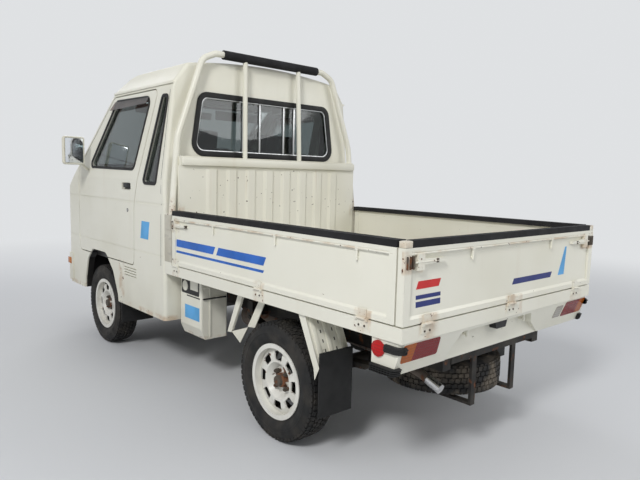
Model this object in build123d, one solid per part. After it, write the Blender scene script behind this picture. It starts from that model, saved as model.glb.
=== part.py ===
from build123d import *
import math
import os

# Kei truck with a high-roof extended cab and a drop-side bed.
# Millimetres. +Z up, ground at z = 0, the front faces -Y, the vehicle's left side is +X.

# Whole vehicle
OVERALL_LENGTH = 3295.0
OVERALL_WIDTH = 1395.0
FRONT_OVERHANG = 660.5
REAR_OVERHANG = 734.5
HALF_LENGTH = OVERALL_LENGTH / 2
HALF_WIDTH = OVERALL_WIDTH / 2
FRONT_AXLE_Y = FRONT_OVERHANG - HALF_LENGTH
REAR_AXLE_Y = HALF_LENGTH - REAR_OVERHANG
FACE_GAP = 0.3
MOVING_GAP = 7.0

# Wheels
TYRE_RADIUS = 263.0
TYRE_WIDTH = 140.0
RIM_RADIUS = 152.0
RIM_FLANGE_RADIUS = 166.0
RIM_WIDTH = 118.0
RIM_SHEET = 6.0
TRACK = 1200.0
VENT_COUNT = 8
DRUM_RADIUS = 92.0
DRUM_WIDTH = 48.0
AXLE_Z = TYRE_RADIUS
STEER_X = 525.0
BALL_PIN = 10.0
# Half of the tyre's section, as (x from the wheel's middle, radius, corner radius)
TYRE_SECTION = [
    (RIM_WIDTH / 2 - RIM_SHEET, RIM_RADIUS + FACE_GAP, 0.0),
    (RIM_WIDTH / 2 - RIM_SHEET, RIM_FLANGE_RADIUS + 4.0, 0.0),
    (TYRE_WIDTH / 2, TYRE_RADIUS - 58.0, 25.0),
    (TYRE_WIDTH / 2 - 4.0, TYRE_RADIUS - 17.0, 8.0),
    (TYRE_WIDTH / 2 - 22.0, TYRE_RADIUS - 2.0, 10.0),
]
# The wheel's disc from its back round to its outer face, as (x from the wheel's middle, radius)
DISC_SECTION = [
    (FACE_GAP, 0.0),
    (FACE_GAP, 62.0),
    (34.0, 84.0),
    (34.0, 118.0),
    (20.0, RIM_RADIUS - RIM_SHEET),
    (28.0, RIM_RADIUS - RIM_SHEET),
    (41.0, 119.0),
    (41.0, 82.0),
    (9.0, 60.0),
    (9.0, 34.0),
    (30.0, 30.0),
    (34.0, 24.0),
    (34.0, 0.0),
]
VENT_OUTLINE = [(-22.0, 90.0, 6.0), (22.0, 90.0, 6.0), (30.0, 128.0, 6.0), (-30.0, 128.0, 6.0)]
VENT_X = (5.0, 60.0)

# Cab shell. The cab is drawn about its own origin, which lies CAB_REACH behind the nose.
CAB_REACH = 1647.5
CAB_PLACE_Y = CAB_REACH - HALF_LENGTH
AXLE_IN_CAB_Y = FRONT_OVERHANG - CAB_REACH
CAB_HALF_WIDTH = HALF_WIDTH - 7.5
CAB_REAR_Y = -50.0
SILL_Z = 335.0
WAIST_Z = 1110.0
DRIP_Z = 1625.0
DRIP_HALF_WIDTH = CAB_HALF_WIDTH - 55.0
DRIP_STEP = (8.0, 25.0)
SHOULDER_Z = 1752.0
SHOULDER_HALF_WIDTH = CAB_HALF_WIDTH - 140.0
ROOF_TOP_Z = 1795.0
SIDE_WALL = 50.0
ROOF_WALL = 32.0
REAR_WALL = 38.0
FRONT_WALL = 60.0
NOSE_RADIUS = 80.0
NOSE_BOW = 22.0
SCREEN_BOW_RADIUS = 2465.0
SCREEN_BASE = (-1490.0, 1170.0)
SCREEN_TOP = (-905.0, 1648.0)
NOSE_POINTS = [(-1612.0, 335.0), (-1634.0, 560.0), (-1640.0, 900.0), (-1566.0, 1120.0)]
ROOF_POINTS = [(-800.0, 1705.0), (-640.0, 1762.0), (-400.0, 1795.0)]
# Edge radii of the cab, with the middle of each edge as (x, y, z)
EDGE_REACH = 12.0
GLASSHOUSE_EDGE = ((CAB_HALF_WIDTH + DRIP_HALF_WIDTH) / 2, (WAIST_Z + DRIP_Z) / 2)
ROOF_EDGE_X = (DRIP_HALF_WIDTH - DRIP_STEP[0] + SHOULDER_HALF_WIDTH) / 2
EDGE_RADII = [
    (20.0, [
        (CAB_HALF_WIDTH, CAB_REAR_Y, (SILL_Z + WAIST_Z) / 2),
        (GLASSHOUSE_EDGE[0], CAB_REAR_Y, GLASSHOUSE_EDGE[1]),
        (DRIP_HALF_WIDTH - DRIP_STEP[0] / 2, CAB_REAR_Y, DRIP_Z + DRIP_STEP[1] / 2),
        (ROOF_EDGE_X, CAB_REAR_Y, (DRIP_Z + DRIP_STEP[1] + SHOULDER_Z) / 2),
        (0.0, CAB_REAR_Y, ROOF_TOP_Z),
    ]),
    (40.0, [(SHOULDER_HALF_WIDTH, -359.0, SHOULDER_Z)]),
    (60.0, [(CAB_HALF_WIDTH, -757.0, WAIST_Z)]),
    (12.0, [(GLASSHOUSE_EDGE[0], -1157.0, GLASSHOUSE_EDGE[1])]),
]
HEADLAMP_X = (372.0, 588.0)
HEADLAMP_Z = (662.0, 812.0)
HEADLAMP_BACK_Y = -1596.0
GLASS_DEPTH = 14.0
GLASS = 5.0
# How much further the windscreen's inner face moves along Y for its pane to be as thick as the others
SCREEN_SLOPE = 1.6

# Door hinges, in the seam before the door
DOOR_HINGE_Z = [700.0, 1040.0]
DOOR_HINGE_LENGTH = 70.0
DOOR_HINGE_RADIUS = 3.2
DOOR_HINGE_PIN = 1.7
DOOR_HINGE_LUG = 12.0

# Door and window outlines on the side, as (y, z, corner radius)
DOOR_FRONT_Y = -1345.0
DOOR_TOP_Z = 1613.0
DOOR_OUTLINE = [
    (DOOR_FRONT_Y, 600.0, 40.0),
    (-448.0, 600.0, 30.0),
    (-441.0, 960.0, 200.0),
    (-368.0, 1181.0, 300.0),
    (-222.0, DOOR_TOP_Z, 30.0),
    (-822.0, DOOR_TOP_Z, 60.0),
    (DOOR_FRONT_Y, 1172.0, 20.0),
]
DOOR_WINDOW = [
    (-1150.0, 1180.0, 25.0),
    (-450.0, 1168.0, 40.0),
    (-300.0, 1580.0, 40.0),
    (-778.0, 1588.0, 30.0),
]
QUARTER_WINDOW = [
    (-312.0, 1092.0, 22.0),
    (-150.0, 1090.0, 22.0),
    (-92.0, 1572.0, 22.0),
    (-160.0, 1574.0, 22.0),
]
# The front wheel arch, as (y behind the axle, z, corner radius)
FRONT_ARCH = [
    (-275.0, 250.0, 0.0),
    (-265.0, 400.0, 60.0),
    (-217.0, 545.0, 60.0),
    (-123.0, 625.0, 60.0),
    (107.0, 625.0, 70.0),
    (225.0, 520.0, 80.0),
    (297.0, 380.0, 60.0),
    (319.0, 250.0, 0.0),
]
# Rear window and windscreen openings seen from the front, as (x, z, corner radius)
REAR_WINDOW = [(-520.0, 1265.0, 60.0), (520.0, 1265.0, 60.0), (470.0, 1592.0, 50.0), (-470.0, 1592.0, 50.0)]
WINDSCREEN = [(-590.0, 1196.0, 50.0), (590.0, 1196.0, 50.0), (548.0, 1628.0, 60.0), (-548.0, 1628.0, 60.0)]
SCREEN_RANGE_Y = (-1700.0, -820.0)
# Where the cab's shell is parted into panels
ROOF_SEAM_Z = DRIP_Z + 7.0
FRONT_SEAM_Y = -1000.0
REAR_SEAM_X = CAB_HALF_WIDTH - SIDE_WALL - 60.0

# Small forms in the cab's skin
CREASE_Z = [976.0, 690.0]
CREASE_DEPTH = 2.5
CREASE_HEIGHT = 7.0
HANDLE_Y = (-610.0, -482.0)
HANDLE_Z = (1046.0, 1088.0)
HANDLE_DEPTH = 22.0
LOUVRE_Z = [522.0, 538.0, 554.0, 570.0]
LOUVRE_Y = (-590.0, -412.0)
LOUVRE_HEIGHT = 6.0
LOUVRE_DEPTH = 9.0
GUTTER_Z = (DRIP_Z + 7.5, DRIP_Z + 17.5)
GUTTER_REACH = 8.0
GUTTER_FRONT_Y = -830.0
FRONT_PANEL_Z = (676.0, 798.0)
FRONT_PANEL_HALF = 356.0
FRONT_PANEL_DEPTH = 8.0
# The front bumper, with its intake slots
BUMPER_Z = (352.0, 548.0)
BUMPER_CORNER = (560.0, -1590.0)
BUMPER_END_Y = -1490.0
BUMPER_RADIUS = 60.0
BUMPER_RETURN_Y = -1570.0
INTAKE_Z = [404.0, 434.0, 464.0]
INTAKE_HEIGHT = 16.0
INTAKE_HALF = 300.0
INTAKE_DEPTH = 12.0

# The left door's mirror
MIRROR_X = (CAB_HALF_WIDTH + 45.0, CAB_HALF_WIDTH + 185.0)
MIRROR_Y = (-1130.0, -1090.0)
MIRROR_Z = (1190.0, 1375.0)
MIRROR_RADIUS = 18.0
MIRROR_ARM = [(CAB_HALF_WIDTH - 18.0, -1190.0, 1150.0), (CAB_HALF_WIDTH + 70.0, -1118.0, 1205.0)]
MIRROR_ARM_RADIUS = 9.0

# Cab inside
FLOOR_TOP_Z = 602.0
FLOOR_SHEET = 28.0
PLATFORM_Z = 742.0
PLATFORM_Y = (AXLE_IN_CAB_Y + 2.0, AXLE_IN_CAB_Y + 587.0)
PLATFORM_HALF_WIDTH = 560.0
PLATFORM_SHEET = 22.0
WELL_INNER_X = 372.0
CUSHION_WIDTH = 470.0
CUSHION_X = 310.0
CUSHION_HEIGHT = 130.0
# The cushion, backrest and headrest, with y measured behind the engine cover's front
CUSHION_Y = (35.0, 515.0)
BACKREST = [(415.0, 860.0), (535.0, 820.0), (655.0, 1300.0), (570.0, 1320.0)]
HEADREST = [(555.0, 1300.0), (640.0, 1280.0), (665.0, 1410.0), (590.0, 1425.0)]
HEADREST_HALF = 120.0
# The dashboard's section, as (y, z, corner radius)
DASH_Z = 1060.0
DASH_FRONT_Y = -1470.0
DASH_SECTION = [
    (DASH_FRONT_Y, 850.0, 0.0),
    (-1330.0, 850.0, 30.0),
    (-1270.0, 960.0, 30.0),
    (-1300.0, DASH_Z, 25.0),
    (DASH_FRONT_Y, DASH_Z, 0.0),
]
COLUMN_RADIUS = 26.0
HUB_RADIUS = 38.0
HUB_DEPTH = 34.0
HUB_SINK = 12.0
SPOKE = (26.0, 9.0)
SPOKE_SINK = 4.0
WHEEL_RING_RADIUS = 185.0
WHEEL_RING_TUBE = 13.0
COLUMN_FOOT = (-310.0, -1440.0, 700.0)
COLUMN_HEAD = (-310.0, -1130.0, 1060.0)

# Chassis
RAIL_X = 335.0
RAIL_WIDTH = 50.0
RAIL_Z = (425.0, 535.0)
RAIL_Y = (87.5 - HALF_LENGTH, HALF_LENGTH - 75.0)
ENGINE_HALF_WIDTH = 230.0
ENGINE_Y = (FRONT_AXLE_Y + 57.0, FRONT_AXLE_Y + 547.0)
ENGINE_Z = (262.0, 700.0)
ENGINE_ARM_Z = (RAIL_Z[0] + 15.0, RAIL_Z[0] + 50.0)
ENGINE_ARM_HALF = 30.0
SPARE_Y = HALF_LENGTH - 347.5
SPARE_Z = 325.0
CROSS_Y = [CAB_PLACE_Y - 1480.0, ENGINE_Y[1] + 90.0, REAR_AXLE_Y - 353.0, SPARE_Y - 280.0, SPARE_Y + 245.0]
CROSS_DEPTH = 60.0
CROSS_Z = (RAIL_Z[0] + 20.0, RAIL_Z[1] - 15.0)
CAB_MOUNT_Y = [CAB_PLACE_Y - 1400.0, CAB_PLACE_Y - 150.0]
CAB_MOUNT_HALF = 30.0
HANGER_HALF = 22.0
CARRIER_X = 150.0
CARRIER_BAR = 12.0
CARRIER_HALF = 15.0
TOW_EYE_Y = CAB_PLACE_Y - 1470.0
TOW_EYE_Z = 312.0
TOW_EYE_RADIUS = 14.0
TOW_PLATE = 14.0
TOW_PLATE_HALF = 35.0

# Front suspension: cross beam, lower arms and struts, with the knuckles between them
BEAM_Z = (350.0, RAIL_Z[0])
BEAM_HALF = 45.0
ARM_Z = (178.0, 205.0)
ARM_HALF = 20.0
DROP_X = (280.0, 320.0)
DROP_HALF = 35.0
BALL_DEPTH = 19.0
STRUT_X = 487.0
STRUT_RADIUS = 21.0
UPRIGHT_Z = (205.0, 360.0)
UPRIGHT_HALF = 28.0
STEER_ARM_Z = (285.0, 305.0)
STEER_ARM_LENGTH = 120.0

# Rear axle and leaf springs
AXLE_TUBE_RADIUS = 34.0
DIFF_X = -40.0
DIFF_RADIUS = 98.0
DIFF_NOSE = 180.0
DIFF_NOSE_RADIUS = 45.0
PINION_RISE = 15.0
SHAFT_RADIUS = 28.0
SHAFT_FRONT_Z = 400.0
FLANGE_RADIUS = 42.0
SPRING_X = 430.0
SPRING_WIDTH = 50.0
SPRING_Y = (REAR_AXLE_Y - 483.0, REAR_AXLE_Y + 487.0)
SPRING_EYE_Z = 430.0
# Half of the spring's underside: (distance in from the spring's end, z), then (distance from the axle, z)
SPRING_END = [(0.0, 416.0), (160.0, 378.0), (164.0, 368.0)]
SPRING_MIDDLE = [(180.0, 350.0), (176.0, 340.0)]
SPRING_TOP = (150.0, 392.0)
SPRING_SEAT_Z = (330.0, 362.0)

# Fuel tank, battery box and exhaust
TANK_X = (-620.0, -RAIL_X - RAIL_WIDTH / 2 - FACE_GAP)
TANK_Z = (290.0, 520.0)
BATTERY_X = (447.0, 612.0)
BATTERY_Z = 272.0
BATTERY_CHAMFER = (27.0, 60.0)
BATTERY_LENGTH = 225.0
BATTERY_RADIUS = 12.0
SILENCER_X = 250.0
SILENCER_Y = (CROSS_Y[2] - 410.0, CROSS_Y[2])
SILENCER_Z = 360.0
SILENCER_RADIUS = 70.0
TAIL_PIPE_RADIUS = 18.0
TAIL_PIPE = [
    (SILENCER_X, SILENCER_Y[1] - 20.0, 370.0),
    (SILENCER_X, REAR_AXLE_Y - 113.0, 400.0),
    (300.0, SPARE_Y - 60.0, 403.0),
    (318.0, SPARE_Y + 140.0, 372.0),
    (318.0, SPARE_Y + 235.0, 338.0),
]
TAIL_PIPE_BENDS = [80.0, 80.0, 60.0]
# Exhaust hangers, as (x, y, foot z)
EXHAUST_HANGERS = [(250.0, CROSS_Y[2] - 15.0, 400.0), (275.0, CROSS_Y[3], 405.0)]
HANGER_WIDTH = 24.0

# Bed
BED_FRONT_Y = CAB_PLACE_Y + CAB_REAR_Y + 17.0
BED_FLOOR_Z = 680.0
BED_SHEET = 14.0
FRONT_STEP_Z = 678.5
SILL_BOTTOM_Z = 609.0
GATE_BOTTOM_Z = 665.5
GATE_TOP_Z = 929.0
GATE_THICK = 30.0
# The gates' section, as (distance out from the outer face, height above the gate's bottom)
GATE_SECTION = [
    (0.0, 2.0),
    (0.0, 22.0),
    (-7.0, 32.0),
    (-9.0, 90.0),
    (-11.0, 232.0),
    (-3.0, 245.5),
    (0.0, 248.0),
    (0.0, 263.5),
    (-30.0, 263.5),
    (-28.0, 245.5),
    (-27.0, 232.0),
    (-25.0, 90.0),
    (-25.0, 32.0),
    (-30.0, 22.0),
    (-30.0, 2.0),
]
GATE_BORDER = 34.0
HOOK_Z = (864.0, 914.0)
HOOK_RADIUS = 4.0
TAIL_HOOK_X = [306.0, -294.0]
LATCH_Z = (852.0, 908.0)
LATCH_HEIGHT = 5.0
LEVER_LENGTH = 118.0
PAD_HEIGHT = 25.0
PAD_WIDTH = 46.0
POST_Y = (BED_FRONT_Y, BED_FRONT_Y + 78.0)
POST_THICK = 50.0
KEEPER_Y = (BED_FRONT_Y + 14.0, POST_Y[1])
TAIL_FRONT_Y = HALF_LENGTH - GATE_THICK
SIDE_GATE_END_Y = TAIL_FRONT_Y - MOVING_GAP
SIDE_GATE_START_Y = POST_Y[1] + MOVING_GAP
SIDE_GATE_LENGTH = SIDE_GATE_END_Y - SIDE_GATE_START_Y
SILL_WIDTH = 70.0
TAIL_SILL_HALF = 600.0
TAIL_SILL_WIDTH = 40.0
# The bearers under the floor, evenly spaced, and those that stand on the frame rails
BEARER_WIDTH = 50.0
BEARER_PITCH = (HALF_LENGTH - BED_FRONT_Y - 280.5) / 4
BEARER_Y = [BED_FRONT_Y + 13.0 + index * BEARER_PITCH for index in range(5)]
BEARERS_ON_RAIL = [BEARER_Y[1], BEARER_Y[3], BEARER_Y[4]]
RAIL_BLOCK_HALF = 20.0
# Hooks and hinges of the side gates, as shares of the gate's length from its front end
SIDE_HOOK_Y = [SIDE_GATE_START_Y + share * SIDE_GATE_LENGTH for share in (0.26, 0.573, 0.88)]
HINGE_OFFSET = 5.5
HINGE_Z = 664.0
HINGE_LENGTH = 62.0
HINGE_RADIUS = 5.1
HINGE_PIN = 2.8
HINGE_LUG = 4.4
HINGE_LUG_TOP = 3.1
HINGE_FIT = 0.08
HINGE_LEAF = 2.5
HINGE_LEAF_HEIGHT = 34.0
HINGE_LUG_LENGTH = 10.0
SIDE_HINGE_Y = [SIDE_GATE_START_Y + share * SIDE_GATE_LENGTH for share in (0.0276, 0.5037, 0.906)]
TAIL_HINGE_X = [569.0, 24.0, -540.0]

# Guard frame behind the cab
GUARD_PIPE_RADIUS = 17.5
GUARD_BASE = (HALF_WIDTH - 20.5, BED_FRONT_Y + 45.0)
GUARD_TOP_Z = 1816.0
GUARD_TOP_Y = BED_FRONT_Y + 17.0
# The hoop's corners above its foot as (x, z), and the bends at them and at the foot's mirror image
GUARD_CORNERS = [(636.0, 1348.0), (478.0, 1778.0), (395.0, GUARD_TOP_Z)]
GUARD_BENDS = [300.0, 70.0, 60.0]
GUARD_FOOT_HEIGHT = 8.0
GUARD_FOOT_X = (28.0, 20.0)
GUARD_FOOT_HALF = 30.0
GUARD_RAIL_HALF = 640.0
GUARD_RAIL_Z = (1190.0, 1245.0)
GUARD_PAD_HALF = 345.0
GUARD_PAD_THICK = 8.0
GUARD_BAR_X = 205.0
GUARD_BAR_RADIUS = 14.0
HEADBOARD_Y = (BED_FRONT_Y + 53.0, BED_FRONT_Y + 78.0)
RIB_X = [-453.0, -323.0, -194.0, -65.0, 65.0, 194.0, 323.0, 453.0]
RIB_BASE = 78.0
RIB_TOP = 44.0
RIB_HEIGHT = 13.0
RIB_MARGIN = 12.0

# Rear valance and lamps
VALANCE_Z = (486.0, 609.0)
VALANCE_HALF_WIDTH = HALF_WIDTH - 7.5
VALANCE_TOP_Y = HALF_LENGTH - 2.0
VALANCE_LOW_Y = HALF_LENGTH - 44.5
VALANCE_INNER_Y = HALF_LENGTH - 69.5
VALANCE_RETURN_Y = HALF_LENGTH - 140.5
VALANCE_RETURN = 34.0
VALANCE_CORNER = 30.0
LAMP_DEPTH = 26.0
LAMP_OUTLINE = [(470.0, 531.0, 8.0), (668.0, 531.0, 8.0), (678.0, 601.0, 8.0), (480.0, 601.0, 8.0)]
REVERSE_OUTLINE = [(-455.0, 533.0, 5.0), (-392.0, 533.0, 5.0), (-396.0, 590.0, 5.0), (-459.0, 590.0, 5.0)]
RECESS_FACE_Y = HALF_LENGTH - 47.5
RECESS_OUTLINE = [
    (400.0, 470.0, 0.0),
    (378.0, 541.0, 40.0),
    (340.0, 596.0, 15.0),
    (-160.0, 596.0, 15.0),
    (-190.0, 550.0, 60.0),
    (-310.0, 470.0, 0.0),
]
PLATE_LAMP_OUTLINE = [(28.0, 564.0, 4.0), (95.0, 564.0, 4.0), (108.0, 595.0, 0.0), (15.0, 595.0, 0.0)]
PLATE_LAMP_DEPTH = 32.0
VALANCE_HOOK_X = [283.0, -135.0]
VALANCE_HOOK_Z = (562.0, 600.0)
VALANCE_HOOK_OUT = 20.0
# The corner buffers, as (distance before the tail from, to, z from, to)
BUFFER_THICK = 16.0
BUFFERS = [(137.5, 43.5, 499.0, 515.0), (75.5, 35.5, 569.0, 594.0)]
PLATE_X = 105.0
PLATE_Z = 545.0
PLATE_BOLT_SPACING = 210.0
PLATE_BOLT_RADIUS = 3.2

# Mud guards behind the rear wheels, as (y behind the axle, z) with their top under the sill
GUARD_PLATE_TOP = SILL_BOTTOM_Z - FACE_GAP
MUD_GUARD_X = (500.0, HALF_WIDTH - 12.5)
MUD_GUARD = [(183.0, GUARD_PLATE_TOP), (215.0, GUARD_PLATE_TOP), (309.0, 412.0), (287.0, 400.0)]
MUD_RIB = [(177.0, GUARD_PLATE_TOP), (187.0, GUARD_PLATE_TOP), (291.0, 402.0), (279.0, 400.0)]
MUD_RIB_X = [530.0, 592.0, 654.0]
MUD_RIB_HALF = 9.0

# Mud flaps, as distances behind each axle
FLAP_OUTER_X = HALF_WIDTH - 17.5
REAR_FLAP_Y = 309.0 + FACE_GAP
REAR_FLAP_THICK = 6.0
REAR_FLAP_Z = (205.0, 470.0)
FRONT_FLAP_Y = (325.0, 332.0)
FRONT_FLAP_X = 470.0
FRONT_FLAP_Z = 200.0


def block(x, y, z):
    """A block between two values on each axis."""
    sizes = [high - low for low, high in (x, y, z)]
    middle = [(high + low) / 2 for low, high in (x, y, z)]
    return Pos(*middle) * Box(*sizes)


def prism(corners, axis, low, high):
    """Corners (a, b) or (a, b, radius) joined across one axis and extruded from low to high."""
    place = {
        "x": lambda a, b: (low, a, b),
        "y": lambda a, b: (a, low, b),
        "z": lambda a, b: (a, b, low),
    }[axis]
    points = [place(corner[0], corner[1]) for corner in corners]
    radii = [corner[2] if len(corner) > 2 else 0.0 for corner in corners]
    if any(radii):
        outline = FilletPolyline(*points, radius=radii, close=True)
    else:
        outline = Polyline(*points, close=True)
    direction = {"x": (1, 0, 0), "y": (0, 1, 0), "z": (0, 0, 1)}[axis]
    return extrude(make_face(outline), amount=high - low, dir=direction)


def grown(corners, amount):
    """The same outline, each corner moved out from the middle along both its sides."""
    moved = []
    count = len(corners)
    area = sum(
        corners[i - 1][0] * corners[i][1] - corners[i][0] * corners[i - 1][1] for i in range(count)
    )
    turn = 1.0 if area > 0 else -1.0
    for i in range(count):
        before, here, after = corners[i - 1], corners[i], corners[(i + 1) % count]
        a = math.atan2(here[1] - before[1], here[0] - before[0])
        b = math.atan2(after[1] - here[1], after[0] - here[0])
        half = (b - a) / 2
        along = (a + b) / 2 - turn * math.pi / 2
        if abs(half) > math.pi / 2:
            along += math.pi
        reach = amount / abs(math.cos(half))
        radius = here[2] + turn * amount * (1 if math.sin(2 * half) > 0 else -1) if here[2] else 0.0
        moved.append((here[0] + reach * math.cos(along), here[1] + reach * math.sin(along), max(radius, 0.0)))
    return moved


def rod(start, end, radius):
    """A round bar between two points."""
    along = Vector(*end) - Vector(*start)
    place = Plane(origin=start, z_dir=along)
    return place * Pos(0, 0, along.length / 2) * Cylinder(radius, along.length)


def pipe(points, radius, bends):
    """A round tube through points, each corner bent to its own radius."""
    path = FilletPolyline(*points, radius=bends)
    start = Plane(origin=path @ 0, z_dir=path % 0)
    return sweep(start * Circle(radius), path=path)


def mirrored(shape):
    """The same shape on the other side of the vehicle."""
    return mirror(shape, about=Plane.YZ)


def joined(shapes):
    """One solid from shapes that meet."""
    shapes = list(shapes)
    whole = shapes[0]
    for shape in shapes[1:]:
        whole = whole + shape
    return whole


def save(name, *shapes):
    """One STEP file for one piece, which may be several solids that do not touch."""
    solids = [solid for shape in shapes for solid in shape.solids()]
    export_step(Compound(children=solids), f"parts/{name}.step")


def save_cab(name, *shapes):
    """A piece of the cab, moved from the cab's own origin to its place on the truck."""
    save(name, *[Pos(0, CAB_PLACE_Y, 0) * shape for shape in shapes])


def cab_form(side, top, front, rear):
    """The cab's outline with each face moved in by its own amount."""
    half = CAB_HALF_WIDTH - side
    roof_z = ROOF_TOP_Z - top
    nose = [(y + front, z) for y, z in NOSE_POINTS]
    screen = [(y + front, z) for y, z in (SCREEN_BASE, SCREEN_TOP)]
    roof = [(y + front / 2, z - top) for y, z in ROOF_POINTS]
    low = SILL_Z if side == 0 else SILL_Z - 100.0
    profile = [
        (CAB_REAR_Y - rear, low),
        (nose[0][0], low),
        (*nose[1], 200.0),
        (*nose[2], 150.0),
        (*nose[3], 90.0),
        (*screen[0], 0.0),
        (*screen[1], 60.0),
        (*roof[0], 120.0),
        (*roof[1], 300.0),
        (*roof[2], 600.0),
        (CAB_REAR_Y - rear, roof_z),
    ]
    profile = [(*corner[:2], corner[2] if len(corner) > 2 else 0.0) for corner in profile]
    side_view = prism(profile, "x", -half, half)
    drip = DRIP_HALF_WIDTH - side
    shoulder = SHOULDER_HALF_WIDTH - side
    edge = Polyline(
        (-shoulder, 0, SHOULDER_Z - top),
        (-drip + DRIP_STEP[0], 0, DRIP_Z + DRIP_STEP[1] - top / 2),
        (-drip, 0, DRIP_Z),
        (-half, 0, WAIST_Z),
        (-half, 0, low),
        (half, 0, low),
        (half, 0, WAIST_Z),
        (drip, 0, DRIP_Z),
        (drip - DRIP_STEP[0], 0, DRIP_Z + DRIP_STEP[1] - top / 2),
        (shoulder, 0, SHOULDER_Z - top),
    )
    crown = ThreePointArc((shoulder, 0, SHOULDER_Z - top), (0, 0, roof_z), (-shoulder, 0, SHOULDER_Z - top))
    front_face = make_face(edge + crown)
    front_view = extrude(front_face, amount=CAB_REACH, dir=(0, -1, 0))
    nose_y = NOSE_POINTS[2][0] + front
    plan_line = Polyline(
        (half - NOSE_RADIUS, nose_y + NOSE_BOW, low),
        (half - NOSE_RADIUS * 0.3, nose_y + NOSE_BOW + NOSE_RADIUS * 0.26, low),
        (half, nose_y + NOSE_BOW + NOSE_RADIUS, low),
        (half, 0, low),
        (-half, 0, low),
        (-half, nose_y + NOSE_BOW + NOSE_RADIUS, low),
        (-half + NOSE_RADIUS * 0.3, nose_y + NOSE_BOW + NOSE_RADIUS * 0.26, low),
        (-half + NOSE_RADIUS, nose_y + NOSE_BOW, low),
    )
    bow_end, bow_y = half - NOSE_RADIUS, nose_y + NOSE_BOW
    bow = ThreePointArc((-bow_end, bow_y, low), (0, nose_y, low), (bow_end, bow_y, low))
    plan_view = extrude(make_face(plan_line + bow), amount=2 * ROOF_TOP_Z, dir=(0, 0, 1))
    slope = Vector(0, SCREEN_TOP[0] - SCREEN_BASE[0], SCREEN_TOP[1] - SCREEN_BASE[1]).normalized()
    reach = 1600.0
    start = Vector(0, SCREEN_BASE[0] + front, SCREEN_BASE[1]) - slope * reach
    wide = 800.0
    sag = SCREEN_BOW_RADIUS - math.sqrt(SCREEN_BOW_RADIUS**2 - wide**2)
    screen_line = Polyline(
        (wide, start.Y + sag, start.Z),
        (wide, start.Y + 4 * reach, start.Z),
        (-wide, start.Y + 4 * reach, start.Z),
        (-wide, start.Y + sag, start.Z),
    )
    screen_arc = ThreePointArc(
        (-wide, start.Y + sag, start.Z), (0, start.Y, start.Z), (wide, start.Y + sag, start.Z)
    )
    screen_view = extrude(make_face(screen_line + screen_arc), amount=3 * reach, dir=slope)
    return side_view & front_view & plan_view & screen_view


def softened(form):
    """The cab's outline with its edges rounded, each edge found by its middle."""
    for radius, middles in EDGE_RADII:
        found = []
        for edge in form.edges():
            at = edge.center()
            for x, y, z in middles:
                if max(abs(abs(at.X) - x), abs(at.Y - y), abs(at.Z - z)) < EDGE_REACH:
                    found.append(edge)
        form = form.fillet(radius, found)
    return form


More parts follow.
